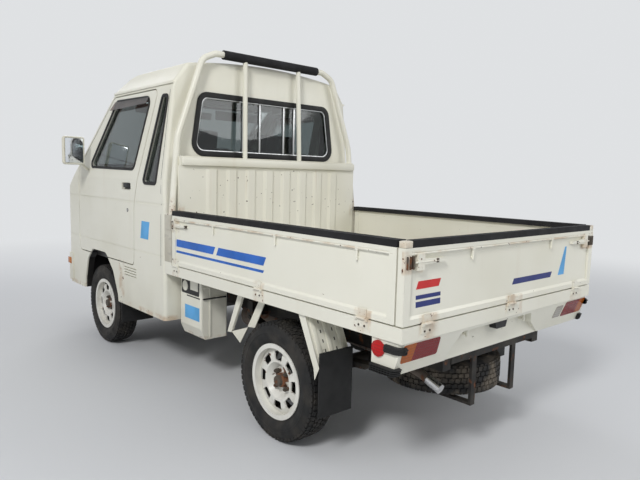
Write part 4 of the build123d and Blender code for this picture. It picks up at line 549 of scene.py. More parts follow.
def add_prism(mesh, outline, offset):
    """A flat outline of points carried along an offset."""
    low = [mesh.verts.new(point) for point in outline]
    high = [mesh.verts.new(Vector(point) + Vector(offset)) for point in outline]
    mesh.faces.new(low)
    mesh.faces.new(reversed(high))
    for i in range(len(low)):
        j = (i + 1) % len(low)
        mesh.faces.new((low[i], low[j], high[j], high[i]))


def add_plate(mesh, outline, low_x, high_x):
    """A flat plate between two x places from an outline of (y, z)."""
    add_prism(mesh, [(low_x, y, z) for y, z in outline], (high_x - low_x, 0, 0))


# The strip's section: a flat foot and a crown with its corners taken off
STRIP_SECTION = ((-0.5, -0.3), (0.5, -0.3), (0.5, 0.5), (0.25, 0.7), (-0.25, 0.7), (-0.5, 0.5))


def add_strip(mesh, points, width_way, height_way, width, height, closed=True):
    """A strip along points; its width and its height each lie along one way, or along a list of ways."""
    ways = []
    for way in (width_way, height_way):
        ways.append([Vector(way)] * len(points) if isinstance(way[0], (int, float)) else way)
    rings = []
    for point, across, up in zip(points, *ways):
        rings.append([
            mesh.verts.new(Vector(point) + across * (width * a) + up * (height * b)) for a, b in STRIP_SECTION
        ])
    sides = len(STRIP_SECTION)
    for i in range(len(rings) if closed else len(rings) - 1):
        j = (i + 1) % len(rings)
        for k in range(sides):
            m = (k + 1) % sides
            mesh.faces.new((rings[i][k], rings[i][m], rings[j][m], rings[j][k]))
    if not closed:
        mesh.faces.new(rings[0])
        mesh.faces.new(reversed(rings[-1]))


def rounded(corners, steps=6):
    """Points along an outline with its corners rounded."""
    points = []
    for i, (a, b, radius) in enumerate(corners):
        here = Vector((a, b))
        before = Vector(corners[i - 1][:2]) - here
        after = Vector(corners[(i + 1) % len(corners)][:2]) - here
        before.normalize()
        after.normalize()
        half = before.angle(after) / 2
        reach = radius / math.tan(half)
        centre = here + (before + after).normalized() * (radius / math.sin(half))
        start, end = here + before * reach - centre, here + after * reach - centre
        turn = start.angle_signed(end)
        for step in range(steps + 1):
            points.append(centre + Matrix.Rotation(-turn * step / steps, 2) @ start)
    return points


def seal(name, outline, lift, normal, width, height, material, body):
    """A strip round a window: lift puts an outline point on the glass, and normal points out of it."""
    flat = rounded(outline)
    centre = Vector(lift(*(sum(flat, Vector((0, 0))) / len(flat))))
    space = [Vector(lift(*point)) for point in flat]
    across = []
    for i, here in enumerate(space):
        along = space[(i + 1) % len(space)] - space[i - 1]
        out = along.cross(Vector(normal)).normalized()
        if out.dot(here - centre) < 0:
            out.negate()
        across.append(out)
    mesh = bmesh.new()
    add_strip(mesh, space, across, Vector(normal).normalized(), width, height)
    piece(name, mesh, material, body, 50.0)


def add_frame(mesh, sign, low, high, place_y, facing, width, height):
    """A strip round an upright rectangle (x, z) with rounded corners; place_y gives its y at an x."""
    radius = 0.012
    (a0, b0), (a1, b1) = low, high
    flat = rounded([(a0, b0, radius), (a1, b0, radius), (a1, b1, radius), (a0, b1, radius)])
    middle = ((a0 + a1) / 2, (b0 + b1) / 2)
    space = [Vector((sign * a, place_y(a), b)) for a, b in flat]
    out = [Vector((sign * (a - middle[0]), 0, b - middle[1])).normalized() for a, b in flat]
    add_strip(mesh, space, out, facing, width, height)


@lru_cache(maxsize=None)
def ray_tree(node):
    """A node's mesh, ready to be met by rays."""
    item = nodes[node]
    points = [item.matrix_world @ vertex.co for vertex in item.data.vertices]
    return BVHTree.FromPolygons(points, [list(face.vertices) for face in item.data.polygons])


def surface(node, start, way):
    """Where a ray meets a node's mesh, and the mesh's normal there."""
    place, normal, _, _ = ray_tree(node).ray_cast(Vector(start), Vector(way))
    return place, normal if normal.dot(Vector(way)) < 0 else -normal


def lathe(mesh, profile, steps):
    """A closed profile of (x, radius) turned about the X axis."""
    rings = []
    for x, radius in profile:
        ring = []
        for step in range(steps):
            angle = 2 * math.pi * step / steps
            ring.append(mesh.verts.new((x, radius * math.cos(angle), radius * math.sin(angle))))
        rings.append(ring)
    for i in range(len(rings)):
        first, second = rings[i], rings[(i + 1) % len(rings)]
        for step in range(steps):
            after = (step + 1) % steps
            mesh.faces.new((first[step], first[after], second[after], second[step]))


# Geometry Nodes: parts that repeat


class Tree:
    """A Geometry Nodes group with named inputs that ends in Realize Instances and Set Material."""

    def __init__(self, name, inputs):
        self.group = bpy.data.node_groups.new(name, "GeometryNodeTree")
        face = self.group.interface
        face.new_socket("Geometry", in_out="OUTPUT", socket_type="NodeSocketGeometry")
        self.inputs = {}
        for label, kind, value in inputs:
            socket = face.new_socket(label, in_out="INPUT", socket_type=kind)
            socket.default_value = value
            self.inputs[label] = socket.identifier
        self.given = self.group.nodes.new("NodeGroupInput").outputs
        self.end = self.group.nodes.new("NodeGroupOutput")

    def add(self, kind, links=(), **settings):
        """A node with its sockets linked or set; returns its first output."""
        node = self.group.nodes.new(kind)
        for key, value in settings.items():
            setattr(node, key, value)
        for socket, value in dict(links).items():
            if isinstance(value, bpy.types.NodeSocket):
                self.group.links.new(value, node.inputs[socket])
            else:
                node.inputs[socket].default_value = value
        return node.outputs[0]

    def math(self, operation, *values):
        return self.add("ShaderNodeMath", enumerate(values), operation=operation)

    def close(self, points, instance, turn, material):
        """Puts the instance on the points, and ends the tree."""
        copies = self.add("GeometryNodeInstanceOnPoints", {
            "Points": points, "Instance": instance, "Rotation": turn,
        })
        real = self.add("GeometryNodeRealizeInstances", {"Geometry": copies})
        painted = self.add("GeometryNodeSetMaterial", {"Geometry": real, "Material": material})
        self.group.links.new(painted, self.end.inputs[0])

    def mesh(self, values):
        """The tree's result with these input values, as a plain mesh."""
        holder = bpy.data.objects.new("holder", bpy.data.meshes.new("holder"))
        bpy.context.scene.collection.objects.link(holder)
        modifier = holder.modifiers.new("shape", "NODES")
        modifier.node_group = self.group
        for label, value in values.items():
            modifier[self.inputs[label]] = value
        found = holder.evaluated_get(bpy.context.evaluated_depsgraph_get())
        data = bpy.data.meshes.new_from_object(found)
        bpy.data.objects.remove(holder)
        return data


def tread_tree(material):
    """Tread blocks set round the tyre's crown, each turned to face outwards."""
    tree = Tree("tread blocks", [
        ("Count", "NodeSocketInt", 48),
        ("Radius", "NodeSocketFloat", 0.26),
        ("Offset", "NodeSocketFloat", 0.0),
        ("Start Angle", "NodeSocketFloat", 0.0),
        ("Block Turn", "NodeSocketFloat", 0.3),
        ("Block Size", "NodeSocketVector", (0.03, 0.024, 0.008)),
    ])
    given = tree.given
    line = tree.add("GeometryNodeMeshLine", {"Count": given["Count"], "Offset": (0.0, 0.0, 0.0)})
    share = tree.math("DIVIDE", tree.add("GeometryNodeInputIndex"), given["Count"])
    angle = tree.math("MULTIPLY_ADD", share, 2 * math.pi, given["Start Angle"])
    across = tree.math("MULTIPLY", tree.math("SINE", angle), given["Radius"])
    up = tree.math("MULTIPLY", tree.math("COSINE", angle), given["Radius"])
    place = tree.add("ShaderNodeCombineXYZ", {0: given["Offset"], 1: across, 2: up})
    spots = tree.add("GeometryNodeSetPosition", {"Geometry": line, "Position": place})
    turned = tree.add("ShaderNodeCombineXYZ", {0: tree.math("MULTIPLY", angle, -1.0)})
    block = tree.add("GeometryNodeMeshCube", {"Size": given["Block Size"]})
    tilt = tree.add("ShaderNodeCombineXYZ", {2: given["Block Turn"]})
    tilted = tree.add("GeometryNodeTransform", {"Geometry": block, "Rotation": tilt})
    tree.close(spots, tilted, turned, material)
    return tree


def bolt_row_tree(material):
    """A row of bolt or rivet heads along a line."""
    tree = Tree("bolt row", [
        ("Count", "NodeSocketInt", 4),
        ("Start", "NodeSocketVector", (0.0, 0.0, 0.0)),
        ("Step", "NodeSocketVector", (0.0, 0.1, 0.0)),
        ("Turn", "NodeSocketVector", (0.0, 0.0, 0.0)),
        ("Sides", "NodeSocketInt", 6),
        ("Head Radius", "NodeSocketFloat", 0.007),
        ("Head Height", "NodeSocketFloat", 0.005),
    ])
    given = tree.given
    line = tree.add("GeometryNodeMeshLine", {
        "Count": given["Count"], "Start Location": given["Start"], "Offset": given["Step"],
    })
    head = tree.add("GeometryNodeMeshCylinder", {
        "Vertices": given["Sides"], "Radius": given["Head Radius"], "Depth": given["Head Height"],
    })
    tree.close(line, head, given["Turn"], material)
    return tree


def merged(meshes):
    """One mesh from several."""
    whole = bmesh.new()
    for data in meshes:
        whole.from_mesh(data)
    result = bpy.data.meshes.new("merged")
    whole.to_mesh(result)
    whole.free()
    return result


def rivets(name, rows, body, height=0.004):
    """Pairs of rivet heads as one piece; a row is the first one's place, the step and the turn."""
    tree = bolt_row_tree(finish("rusty bolt"))
    made = []
    for start, step, turn in rows:
        given = {"Head Height": height, "Start": start, "Step": step, "Turn": turn}
        made.append(tree.mesh({**RIVET_PAIR, **given}))
    dressed(name, merged(made), "rusty bolt", body)


# Pieces

NODE_FINISHES = {
    "cab paint": [
        "cab_roof", "cab_rear_wall", "cab_front", "cab_side_left", "cab_side_right", "cab_floor",
        "door_left", "door_right", "front_bumper",
    ],
    "bed paint": [
        "guard_frame", "side_gate_left", "side_gate_right", "tailgate", "rear_valance", "mud_guards",
        "battery_box",
    ],
    "bed floor paint": ["bed_floor"],
    "window glass": ["windscreen", "cab_windows", "door_glass_left", "door_glass_right"],
    "dash plastic": ["dashboard"],
    "cabin vinyl": ["seats"],
    "black plastic": ["steering_wheel", "plate_lamp"],
    "headlamp lens": ["headlamps"],
    "tail lens": ["tail_lamps"],
    "frame black": [
        "chassis_frame", "cross_members", "fuel_tank", "spare_carrier", "propshaft", "front_suspension",
        "rear_axle", "knuckle_left", "knuckle_right",
    ],
    "engine metal": ["engine"],
    "exhaust steel": ["exhaust"],
    "foam pad": ["guard_pad", "side_pad_left", "side_pad_right", "tailgate_pad"],
    "black rubber": ["corner_buffers", "mud_flaps"],
    "spare wheel enamel": ["spare_rim"],
    "wheel enamel": [f"rim_{name}" for name, _, _ in WHEELS],
}


def paint_nodes():
    """Gives every CAD node its finish."""
    for name, members in NODE_FINISHES.items():
        for member in members:
            data = nodes[member].data
            data.materials.clear()
            data.materials.append(finish(name))


def tyre_profile(outer):
    """The tyre's section as (x, radius) from bead to bead, with four grooves in the crown."""
    half = TYRE_HALF_WIDTH
    crown = outer - 0.0065
    side = [
        (0.053, outer - 0.109), (0.055, outer - 0.092), (0.062, outer - 0.081),
        (half - 0.003, outer - 0.069), (half - 0.0008, outer - 0.058), (half - 0.0016, outer - 0.053),
        (half, outer - 0.051), (half - 0.0004, outer - 0.048), (half - 0.002, outer - 0.046),
        (half - 0.0035, outer - 0.034), (half - 0.007, outer - 0.023), (half - 0.0135, outer - 0.013),
        (half - 0.0215, crown - 0.001),
    ]
    groove = ((0.0020, 0.0), (0.0014, 0.003), (-0.0014, 0.003), (-0.0020, 0.0))
    grooves = [(middle + x, crown - depth) for middle in (0.0325, 0.0120) for x, depth in groove]
    half_section = side + grooves
    return half_section + [(-x, radius) for x, radius in reversed(half_section)]


# The tread's rows as (place across, width, drop below the crown, start in blocks, slant)
TREAD_ROWS = [
    (0.0000, 0.0185, 0.0010, 0.0, -0.25),
    (0.0222, 0.0165, 0.0010, 0.5, 0.22), (-0.0222, 0.0165, 0.0010, 0.5, 0.22),
    (0.0435, 0.0180, 0.0026, 0.0, -0.12), (-0.0435, 0.0180, 0.0026, 0.0, -0.12),
    (0.0565, 0.0090, 0.0085, 0.5, 0.0), (-0.0565, 0.0090, 0.0085, 0.5, 0.0),
]


def make_tyre(name, node, place, body, material):
    """A tyre with grooves and tread blocks, in place of the plain one."""
    settings = bpy.context.scene.kei_truck_tyres
    whole = bmesh.new()
    lathe(whole, tyre_profile(WHEEL_RADIUS), 72)
    bmesh.ops.recalc_face_normals(whole, faces=whole.faces)
    carcass = bpy.data.meshes.new("carcass")
    whole.to_mesh(carcass)
    whole.free()
    tree = tread_tree(finish(material))
    pitch = 2 * math.pi / settings.tread_count
    rows = []
    for across, width, drop, start, slant in TREAD_ROWS:
        rows.append(tree.mesh({
            "Count": settings.tread_count, "Radius": WHEEL_RADIUS - drop - settings.tread_depth,
            "Offset": across, "Start Angle": start * pitch, "Block Turn": slant,
            "Block Size": (width, settings.block_share * pitch * WHEEL_RADIUS, 2 * settings.tread_depth),
        }))
    data = merged([carcass, *rows])
    data.transform(place)
    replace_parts(dressed(name, data, material, body), node)


def make_wheel_details(name, side, axle_y):
    """Wheel nuts, hub cap and valve on one wheel."""
    nut_circle = 0.047

    def add_part(mesh, start, end, up, along, *sizes):
        """A rod that stands out of the wheel between two distances from its middle plane."""
        y, z = axle_y + along, AXLE_Z + up
        add_rod(mesh, (side * (WHEEL_X + start), y, z), (side * (WHEEL_X + end), y, z), *sizes)

    nuts = bmesh.new()
    for index in range(4):
        angle = math.radians(45 + 90 * index)
        up, along = nut_circle * math.sin(angle), nut_circle * math.cos(angle)
        add_part(nuts, 0.0095, 0.0275, up, along, 0.0105, 6)
        add_part(nuts, 0.0275, 0.0345, up, along, 0.006, 10)
    add_part(nuts, 0.030, 0.046, 0.0, 0.0, 0.026, 24, 0.022)
    piece(f"wheel nuts {name}", nuts, "rusty bolt", f"wheel_{name}")
    valve = bmesh.new()
    start = (side * (WHEEL_X + 0.030), axle_y, AXLE_Z + 0.136)
    end = (side * (WHEEL_X + 0.056), axle_y, AXLE_Z + 0.132)
    add_rod(valve, start, end, 0.0035, 10)
    piece(f"valve {name}", valve, "black rubber", f"wheel_{name}")


def make_seals():
    """Rubber round every window, and the metal frame of the rear one."""
    for sign, word in SIDES:
        normal = (sign * 0.994, 0.0, 0.106)

        def lift(y, z):
            return (sign * (side_x(z) + 0.0005), y, z)

        seal(
            f"door window rubber {word}", DOOR_WINDOW, lift, normal,
            0.016, 0.005, "black rubber", f"door_{word}",
        )
        seal(
            f"quarter window rubber {word}", QUARTER_WINDOW, lift, normal,
            0.018, 0.005, "black rubber", "chassis",
        )
    seal(
        "rear window rubber", REAR_WINDOW, lambda x, z: (x, CAB_REAR_Y + 0.0005, z), (0.0, 1.0, 0.0),
        0.030, 0.009, "black rubber", "chassis",
    )
    middle_z = 1.43
    inner = [(a * 0.965, middle_z + (b - middle_z) * 0.90, radius * 0.8) for a, b, radius in REAR_WINDOW]
    seal(
        "rear window metal frame", inner, lambda x, z: (x, CAB_REAR_Y - 0.006, z), (0.0, 1.0, 0.0),
        0.009, 0.007, "aluminium trim", "chassis",
    )
    normal = (0.0, -(SCREEN_HEAD[1] - SCREEN_BASE[1]), SCREEN_HEAD[0] - SCREEN_BASE[0])
    seal(
        "windscreen rubber", WINDSCREEN, lambda x, z: (x, screen_y(x, z) - 0.0005, z), normal,
        0.026, 0.006, "black rubber", "chassis",
    )


def make_window_trim():
    """The bars of the rear window and the smoked visors over the door windows."""
    bars = bmesh.new()
    for x in (0.180, 0.060, -0.123, -0.205):
        low, high = (x - 0.006, CAB_REAR_Y - 0.020, 1.286), (x + 0.006, CAB_REAR_Y - 0.006, 1.574)
        add_block(bars, low, high, 0.0015)
    piece("rear window bars", bars, "aluminium trim", "chassis")
    # Each corner as (y, z, distance off the cab's side)
    corners = [(-0.800, 1.585, 0.004), (-0.318, 1.579, 0.004), (-0.335, 1.545, 0.012), (-0.860, 1.535, 0.012)]
    for sign, word in SIDES:
        visor = bmesh.new()
        add_prism(visor, [(sign * (side_x(z) + off), y, z) for y, z, off in corners], (sign * 0.002, 0, 0))
        piece(f"window visor {word}", visor, "visor smoke", f"door_{word}")


def make_door_details():
    """Handles, locks, mirror glass and inside trim on both doors."""
    for sign, word in SIDES:
        body = f"door_{word}"
        dark = bmesh.new()
        add_side_block(dark, sign, (0.6705, -0.600, 1.049), (0.672, -0.492, 1.085))
        add_side_block(dark, sign, (0.678, -0.596, 1.058), (0.688, -0.500, 1.084), 0.003)
        add_rod(dark, (sign * 0.689, -0.529, 0.923), (sign * 0.6915, -0.529, 0.923), 0.011, 20)
        piece(f"door handle {word}", dark, "black plastic", body)
        lock = bmesh.new()
        add_rod(lock, (sign * 0.6912, -0.529, 0.923), (sign * 0.6925, -0.529, 0.923), 0.0075, 20)
        add_side_block(lock, sign, (0.6921, -0.530, 0.9185), (0.6929, -0.528, 0.9275))
        piece(f"door lock {word}", lock, "bright steel", body)
        glass = bmesh.new()
        add_side_block(glass, sign, (0.748, -1.0905, 1.203), (0.862, -1.0885, 1.362), 0.0008)
        piece(f"mirror glass {word}", glass, "mirror silver", body)
        rim = bmesh.new()
        add_frame(rim, sign, (0.742, 1.197), (0.868, 1.368), lambda x: -1.0895, (0.0, 1.0, 0.0), 0.007, 0.004)
        piece(f"mirror rim {word}", rim, "cab paint", body, 45.0)
        lining = bmesh.new()
        add_side_block(lining, sign, (0.6375, -1.250, 0.680), (0.6395, -0.520, 1.120), 0.0008)
        add_side_block(lining, sign, (0.600, -0.980, 0.850), (0.638, -0.700, 0.885), 0.008)
        add_rod(lining, (sign * 0.638, -1.050, 0.900), (sign * 0.612, -1.050, 0.900), 0.014, 16)
        piece(f"door lining {word}", lining, "dash plastic", body)


def add_line(mesh, node, sign, start, end, count, width, height):
    """A thin line on a cab side between two (y, z) spots, laid on the node's surface."""
    spots = [[a + (b - a) * step / (count - 1) for a, b in zip(start, end)] for step in range(count)]
    points, across, out = [], [], []
    for index, (y, z) in enumerate(spots):
        place, normal = surface(node, (sign * 1.2, y, z), (-sign, 0, 0))
        before, after = spots[max(index - 1, 0)], spots[min(index + 1, count - 1)]
        along = Vector((0, after[0] - before[0], after[1] - before[1])).normalized()
        points.append(place)
        across.append(along.cross(normal).normalized())
        out.append(normal)
    add_strip(mesh, points, across, out, width, height, closed=False)


def make_side_lines():
    """The pressed lines along the cab's sides, and a thin black strip as painted shade for the groove in its
    rear pillars.
    """
    pressed, fine = (0.0050, 0.0016), (0.0026, 0.0008)
    for sign, word in SIDES:
        door, side = f"door_{word}", f"cab_side_{word}"
        lines = bmesh.new()
        add_line(lines, door, sign, (-1.315, 0.9765), (-0.456, 0.9710), 12, *pressed)
        add_line(lines, door, sign, (-1.315, 0.6945), (-0.462, 0.6930), 12, *pressed)
        piece(f"door pressed lines {word}", lines, "cab paint", door, 45.0)
        lines = bmesh.new()
        add_line(lines, side, sign, (-0.424, 0.9705), (-0.090, 0.9680), 8, *pressed)
        piece(f"cab pressed lines {word}", lines, "cab paint", "chassis", 45.0)
        # Painted shade: a thin black strip on each rear pillar stands for the groove there.
        groove = bmesh.new()
        add_line(groove, side, sign, (-0.094, 0.640), (-0.088, 1.120), 8, *fine)
        add_line(groove, side, sign, (-0.088, 1.120), (-0.076, 1.600), 10, *fine)
        piece(f"pillar groove {word}", groove, "black rubber", "chassis", 45.0)


def make_front():
    """Front panel slats, wipers, the bumper's side markers and intakes, with black plates in the intakes as
    painted shade, and the headlamp bezels.
    """
    slats = bmesh.new()
    across = [-0.340 + 0.680 * step / 12 for step in range(13)]
    for z in (0.690, 0.714, 0.738, 0.762):
        points = [(x, front_y(x), z) for x in across]
        add_strip(slats, points, (0, 0, 1), (0, -1, 0), 0.015, 0.005, closed=False)
    piece("front panel slats", slats, "black plastic", "chassis")
    wipers = bmesh.new()
    for pivot_x, tip_x in ((-0.42, -0.02), (0.10, 0.50)):
        arm_x = tip_x - 0.12
        start = Vector((pivot_x, screen_y(pivot_x, 1.178) - 0.012, 1.178))
        end = Vector((arm_x, screen_y(arm_x, 1.240) - 0.018, 1.240))
        add_rod(wipers, start, end, 0.0045, 8)
        blade = []
        for step in range(9):
            x, z = pivot_x + 0.09 + (tip_x - pivot_x - 0.05) * step / 8, 1.204 + 0.066 * step / 8
            blade.append((x, screen_y(x, z) - 0.010, z))
        for here, there in zip(blade, blade[1:]):
            add_rod(wipers, here, there, 0.0042, 8)
        add_rod(wipers, start + Vector((0, 0.012, -0.004)), start + Vector((0, -0.006, 0.006)), 0.013, 16)
    piece("wipers", wipers, "black plastic", "chassis")
    markers = bmesh.new()
    for sign, _ in SIDES:
        add_side_block(markers, sign, (0.6945, -1.585, 0.470), (0.6985, -1.520, 0.515), 0.0015)
    piece("bumper side markers", markers, "amber lens", "chassis")
    # Painted shade: a black plate inside each intake stands for the slot's dark inside; thin black bars stand
    # across it.
    intakes = bmesh.new()
    for z in (0.404, 0.434, 0.464):
        low, high = z + 0.0004, z + 0.0156
        add_block(intakes, (-0.299, -1.6400, low), (0.299, -1.6362, high))
        for step in range(13):
            x = -0.288 + 0.048 * step
            add_block(intakes, (x - 0.0015, -1.6450, low), (x + 0.0015, -1.6399, high))
    piece("bumper intakes", intakes, "black plastic", "chassis")
    bezels = bmesh.new()
    divider_x, low_z, high_z = 0.536, 0.664, 0.810
    for sign, _ in SIDES:
        add_frame(
            bezels, sign, (0.374, low_z), (0.586, high_z), lambda x: front_y(x) - 0.007,
            (0, -1, 0), 0.012, 0.005,
        )
        bar = [(sign * divider_x, front_y(divider_x) - 0.006, z) for z in (low_z, high_z)]
        add_strip(bezels, bar, (1, 0, 0), (0, -1, 0), 0.006, 0.005, closed=False)
    piece("headlamp bezels", bezels, "black plastic", "chassis")


def stripe(name, outline, offset, material, body):
    """A painted shape from its outline, as thick as its offset."""
    mesh = bmesh.new()
    add_prism(mesh, outline, offset)
    piece(name, mesh, material, body)


def gate_face(z):
    """How far a gate's recessed face lies inside its outer face at a height, less the stripe's clearance."""
    rise = (z - GATE_FOOT_Z - 0.090) / (0.232 - 0.090)
    return -0.009 - 0.002 * rise + 0.0001


def make_stripes():
    """Plain coloured stripes on the gates and the cab's left side."""
    bars = ((0.07, 0.45, 0.768, 0.806), (0.48, 0.86, 0.768, 0.806), (0.07, 0.86, 0.736, 0.748))
    for sign, word in SIDES:
        for index, (start, end, low, high) in enumerate(bars):
            slant = (high - low) * 0.5
            points = [(start, low), (end, low), (end + slant, high), (start + slant, high)]
            outline = [(sign * (HALF_WIDTH + gate_face(z)), y, z) for y, z in points]
            name, body = f"gate stripe {word} {index}", f"side_gate_{word}"
            stripe(name, outline, (sign * STRIPE_THICKNESS, 0, 0), "blue stripe", body)
    patch = [(0.6901, y, z) for y, z in ((-0.352, 0.770), (-0.250, 0.770), (-0.232, 0.872), (-0.334, 0.872))]
    stripe("cab stripe", patch, (0.0005, 0, 0), "light blue stripe", "chassis")
    marks = [
        ("red", "red stripe", [(0.624, 0.785), (0.500, 0.785), (0.488, 0.812), (0.612, 0.812)]),
        ("low", "dark blue stripe", [(0.624, 0.722), (0.488, 0.722), (0.488, 0.742), (0.624, 0.742)]),
        ("second low", "dark blue stripe", [(0.624, 0.750), (0.488, 0.750), (0.488, 0.764), (0.624, 0.764)]),
        ("long", "dark blue stripe", [(0.010, 0.736), (-0.310, 0.736), (-0.323, 0.760), (-0.003, 0.760)]),
        ("wing", "light blue stripe", [(-0.380, 0.738), (-0.436, 0.738), (-0.452, 0.864), (-0.438, 0.864)]),
    ]
    for word, material, points in marks:
        outline = [(x, HALF_LENGTH + gate_face(z), z) for x, z in points]
        stripe(f"tailgate stripe {word}", outline, (0, STRIPE_THICKNESS, 0), material, "tailgate")


def make_side_gate_details():
    """Rope rail, latch parts and rivets on each side gate."""
    low, high = LATCH_Z
    end_low, end_high = LATCH_END_Z
    for sign, word in SIDES:
        body = f"side_gate_{word}"
        rail = bmesh.new()
        x, handle_x = sign * (HALF_WIDTH - 0.0045), sign * (HALF_WIDTH + 0.0028)
        add_rod(rail, (x, 0.056, ROPE_RAIL_Z), (x, 1.606, ROPE_RAIL_Z), ROPE_RAIL_RADIUS, 12)
        add_rod(rail, (handle_x, 0.078, 0.880), (handle_x, 0.198, 0.8785), 0.0034, 10)
        piece(f"gate rope rail {word}", rail, "worn rail paint", body)
        dark = bmesh.new()
        face = sign * HALF_WIDTH
        for y in (0.059, 0.074):
            add_block(dark, (face - 0.006, y - 0.002, low), (face + 0.006, y + 0.002, high), 0.001)
        add_block(dark, (face - 0.0056, 0.190, end_low), (face + 0.0056, 0.204, end_high), 0.0015)
        piece(f"gate latch parts {word}", dark, "rusty bolt", body)
        rows = [
            ((sign * 0.7028, 0.0665, 0.862), (0.0, 0.0, 0.036), SIDEWAYS),
            ((sign * 0.6960, 0.088, 0.682), (0.0, 0.0, 0.012), SIDEWAYS),
        ]
        rows += [((sign * 0.6955, y - 0.014, 0.690), (0.0, 0.028, 0.0), SIDEWAYS) for y in SIDE_HINGE_Y]
        rivets(f"gate rivets {word}", rows, body)


def make_tailgate_details():
    """Rope rail, end caps and latch parts on the tailgate."""
    low, high = LATCH_Z
    end_low, end_high = LATCH_END_Z
    rail, dark = bmesh.new(), bmesh.new()
    y, handle_y = HALF_LENGTH - 0.0045, 1.6503
    cap_low, cap_high = (0.6590, 1.6182, GATE_TOP_Z + 0.0002), (0.6970, 1.6474, GATE_TOP_Z + 0.0235)
    add_rod(rail, (-0.690, y, ROPE_RAIL_Z), (0.690, y, ROPE_RAIL_Z), ROPE_RAIL_RADIUS, 12)
    for sign, _ in SIDES:
        add_side_block(rail, sign, cap_low, cap_high, 0.003)
        add_rod(rail, (sign * 0.648, handle_y, 0.880), (sign * 0.525, handle_y, 0.8785), 0.0034, 10)
        for x in (sign * 0.688, sign * 0.672, sign * 0.656):
            add_block(dark, (x - 0.002, 1.6400, low), (x + 0.002, 1.6535, high), 0.001)
        x = sign * 0.529
        add_block(dark, (x - 0.007, 1.6400, end_low), (x + 0.007, 1.6531, end_high), 0.0015)
    piece("tailgate rope rail", rail, "worn rail paint", "tailgate")
    piece("tailgate latch parts", dark, "rusty bolt", "tailgate")


def wrap(mesh, sign, start_y, end_x, z, rear_y, corner, height, thick):
    """A rubber strip from a side round the valance's corner onto its rear face."""
    half = 0.3 * thick
    side, rear, reach = VALANCE_HALF_WIDTH + half, rear_y + half, corner + half
    spots = [(side, start_y, 0.0)]
    for step in range(9):
        angle = math.pi / 2 * step / 8
        spots.append((side - reach + reach * math.cos(angle), rear - reach + reach * math.sin(angle), angle))
    spots.append((end_x, rear, math.pi / 2))
    points = [(sign * x, y, z) for x, y, _ in spots]
    out = [Vector((sign * math.cos(angle), math.sin(angle), 0)) for _, _, angle in spots]
    add_strip(mesh, points, (0, 0, 1), out, height, thick, closed=False)


def make_rear_corners():
    """The ribbed rubber corners and the round side reflectors."""
    rubber, reflectors = bmesh.new(), bmesh.new()
    for sign, _ in SIDES:
        wrap(rubber, sign, 1.573, 0.682, 0.5815, 1.636, 0.022, 0.026, 0.014)
        wrap(rubber, sign, 1.574, 0.683, 0.5870, 1.638, 0.022, 0.006, 0.016)
        wrap(rubber, sign, 1.574, 0.683, 0.5760, 1.634, 0.022, 0.006, 0.016)
        wrap(rubber, sign, 1.508, 0.664, 0.5015, 1.6085, 0.010, 0.029, 0.010)
        for rib in range(4):
            z, rear_y = 0.4908 + 0.0072 * rib, 1.6048 + 0.0025 * rib
            wrap(rubber, sign, 1.510, 0.666, z, rear_y, 0.010, 0.0052, 0.0155)
        y, z = 1.540, 0.572
        add_rod(reflectors, (sign * 0.6895, y, z), (sign * 0.6965, y, z), 0.029, 36)
        add_rod(reflectors, (sign * 0.6964, y, z), (sign * 0.6985, y, z), 0.026, 36, 0.022)
    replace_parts(piece("corner rubbers", rubber, "black rubber", "chassis", 45.0), "corner_buffers")
    piece("side reflectors", reflectors, "red reflector", "chassis")


def make_hinge_rivets():
    """Two rivets in the fixed leaf of each gate hinge."""
    rows = []
    for sign, _ in SIDES:
        rows += [((sign * 0.7005, y - 0.014, 0.638), (0.0, 0.028, 0.0), SIDEWAYS) for y in SIDE_HINGE_Y]
    rows += [((x - 0.014, 1.6505, 0.638), (0.028, 0.0, 0.0), REARWARD) for x in TAIL_HINGE_X]
    rivets("hinge rivets", rows, "chassis", 0.003)


def make_headboard_rail():
    """The folded lip along the headboard's top."""
    face, _ = surface("guard_frame", (0.0, 0.5, 1.222), (0, -1, 0))
    rail = bmesh.new()
    add_block(rail, (-0.640, face.y - 0.002, 1.194), (0.640, face.y + 0.020, 1.240), 0.009)
    piece("headboard rail", rail, "bed paint", "chassis", 40.0)


# The rear mud guards' sloping faces: their top and foot, and the way out of them
GUARD_TOP = Vector((0, REAR_AXLE_Y + 0.215, 0.609))
GUARD_FOOT = Vector((0, REAR_AXLE_Y + 0.309, 0.412))
GUARD_OUT = Vector((0, 0.903, 0.430))


def on_guard(x, share, off=0.0):
    """A point on a mud guard at a share of the way down, so far off its face."""
    return Vector((x, 0, 0)) + GUARD_TOP.lerp(GUARD_FOOT, share) + GUARD_OUT * off


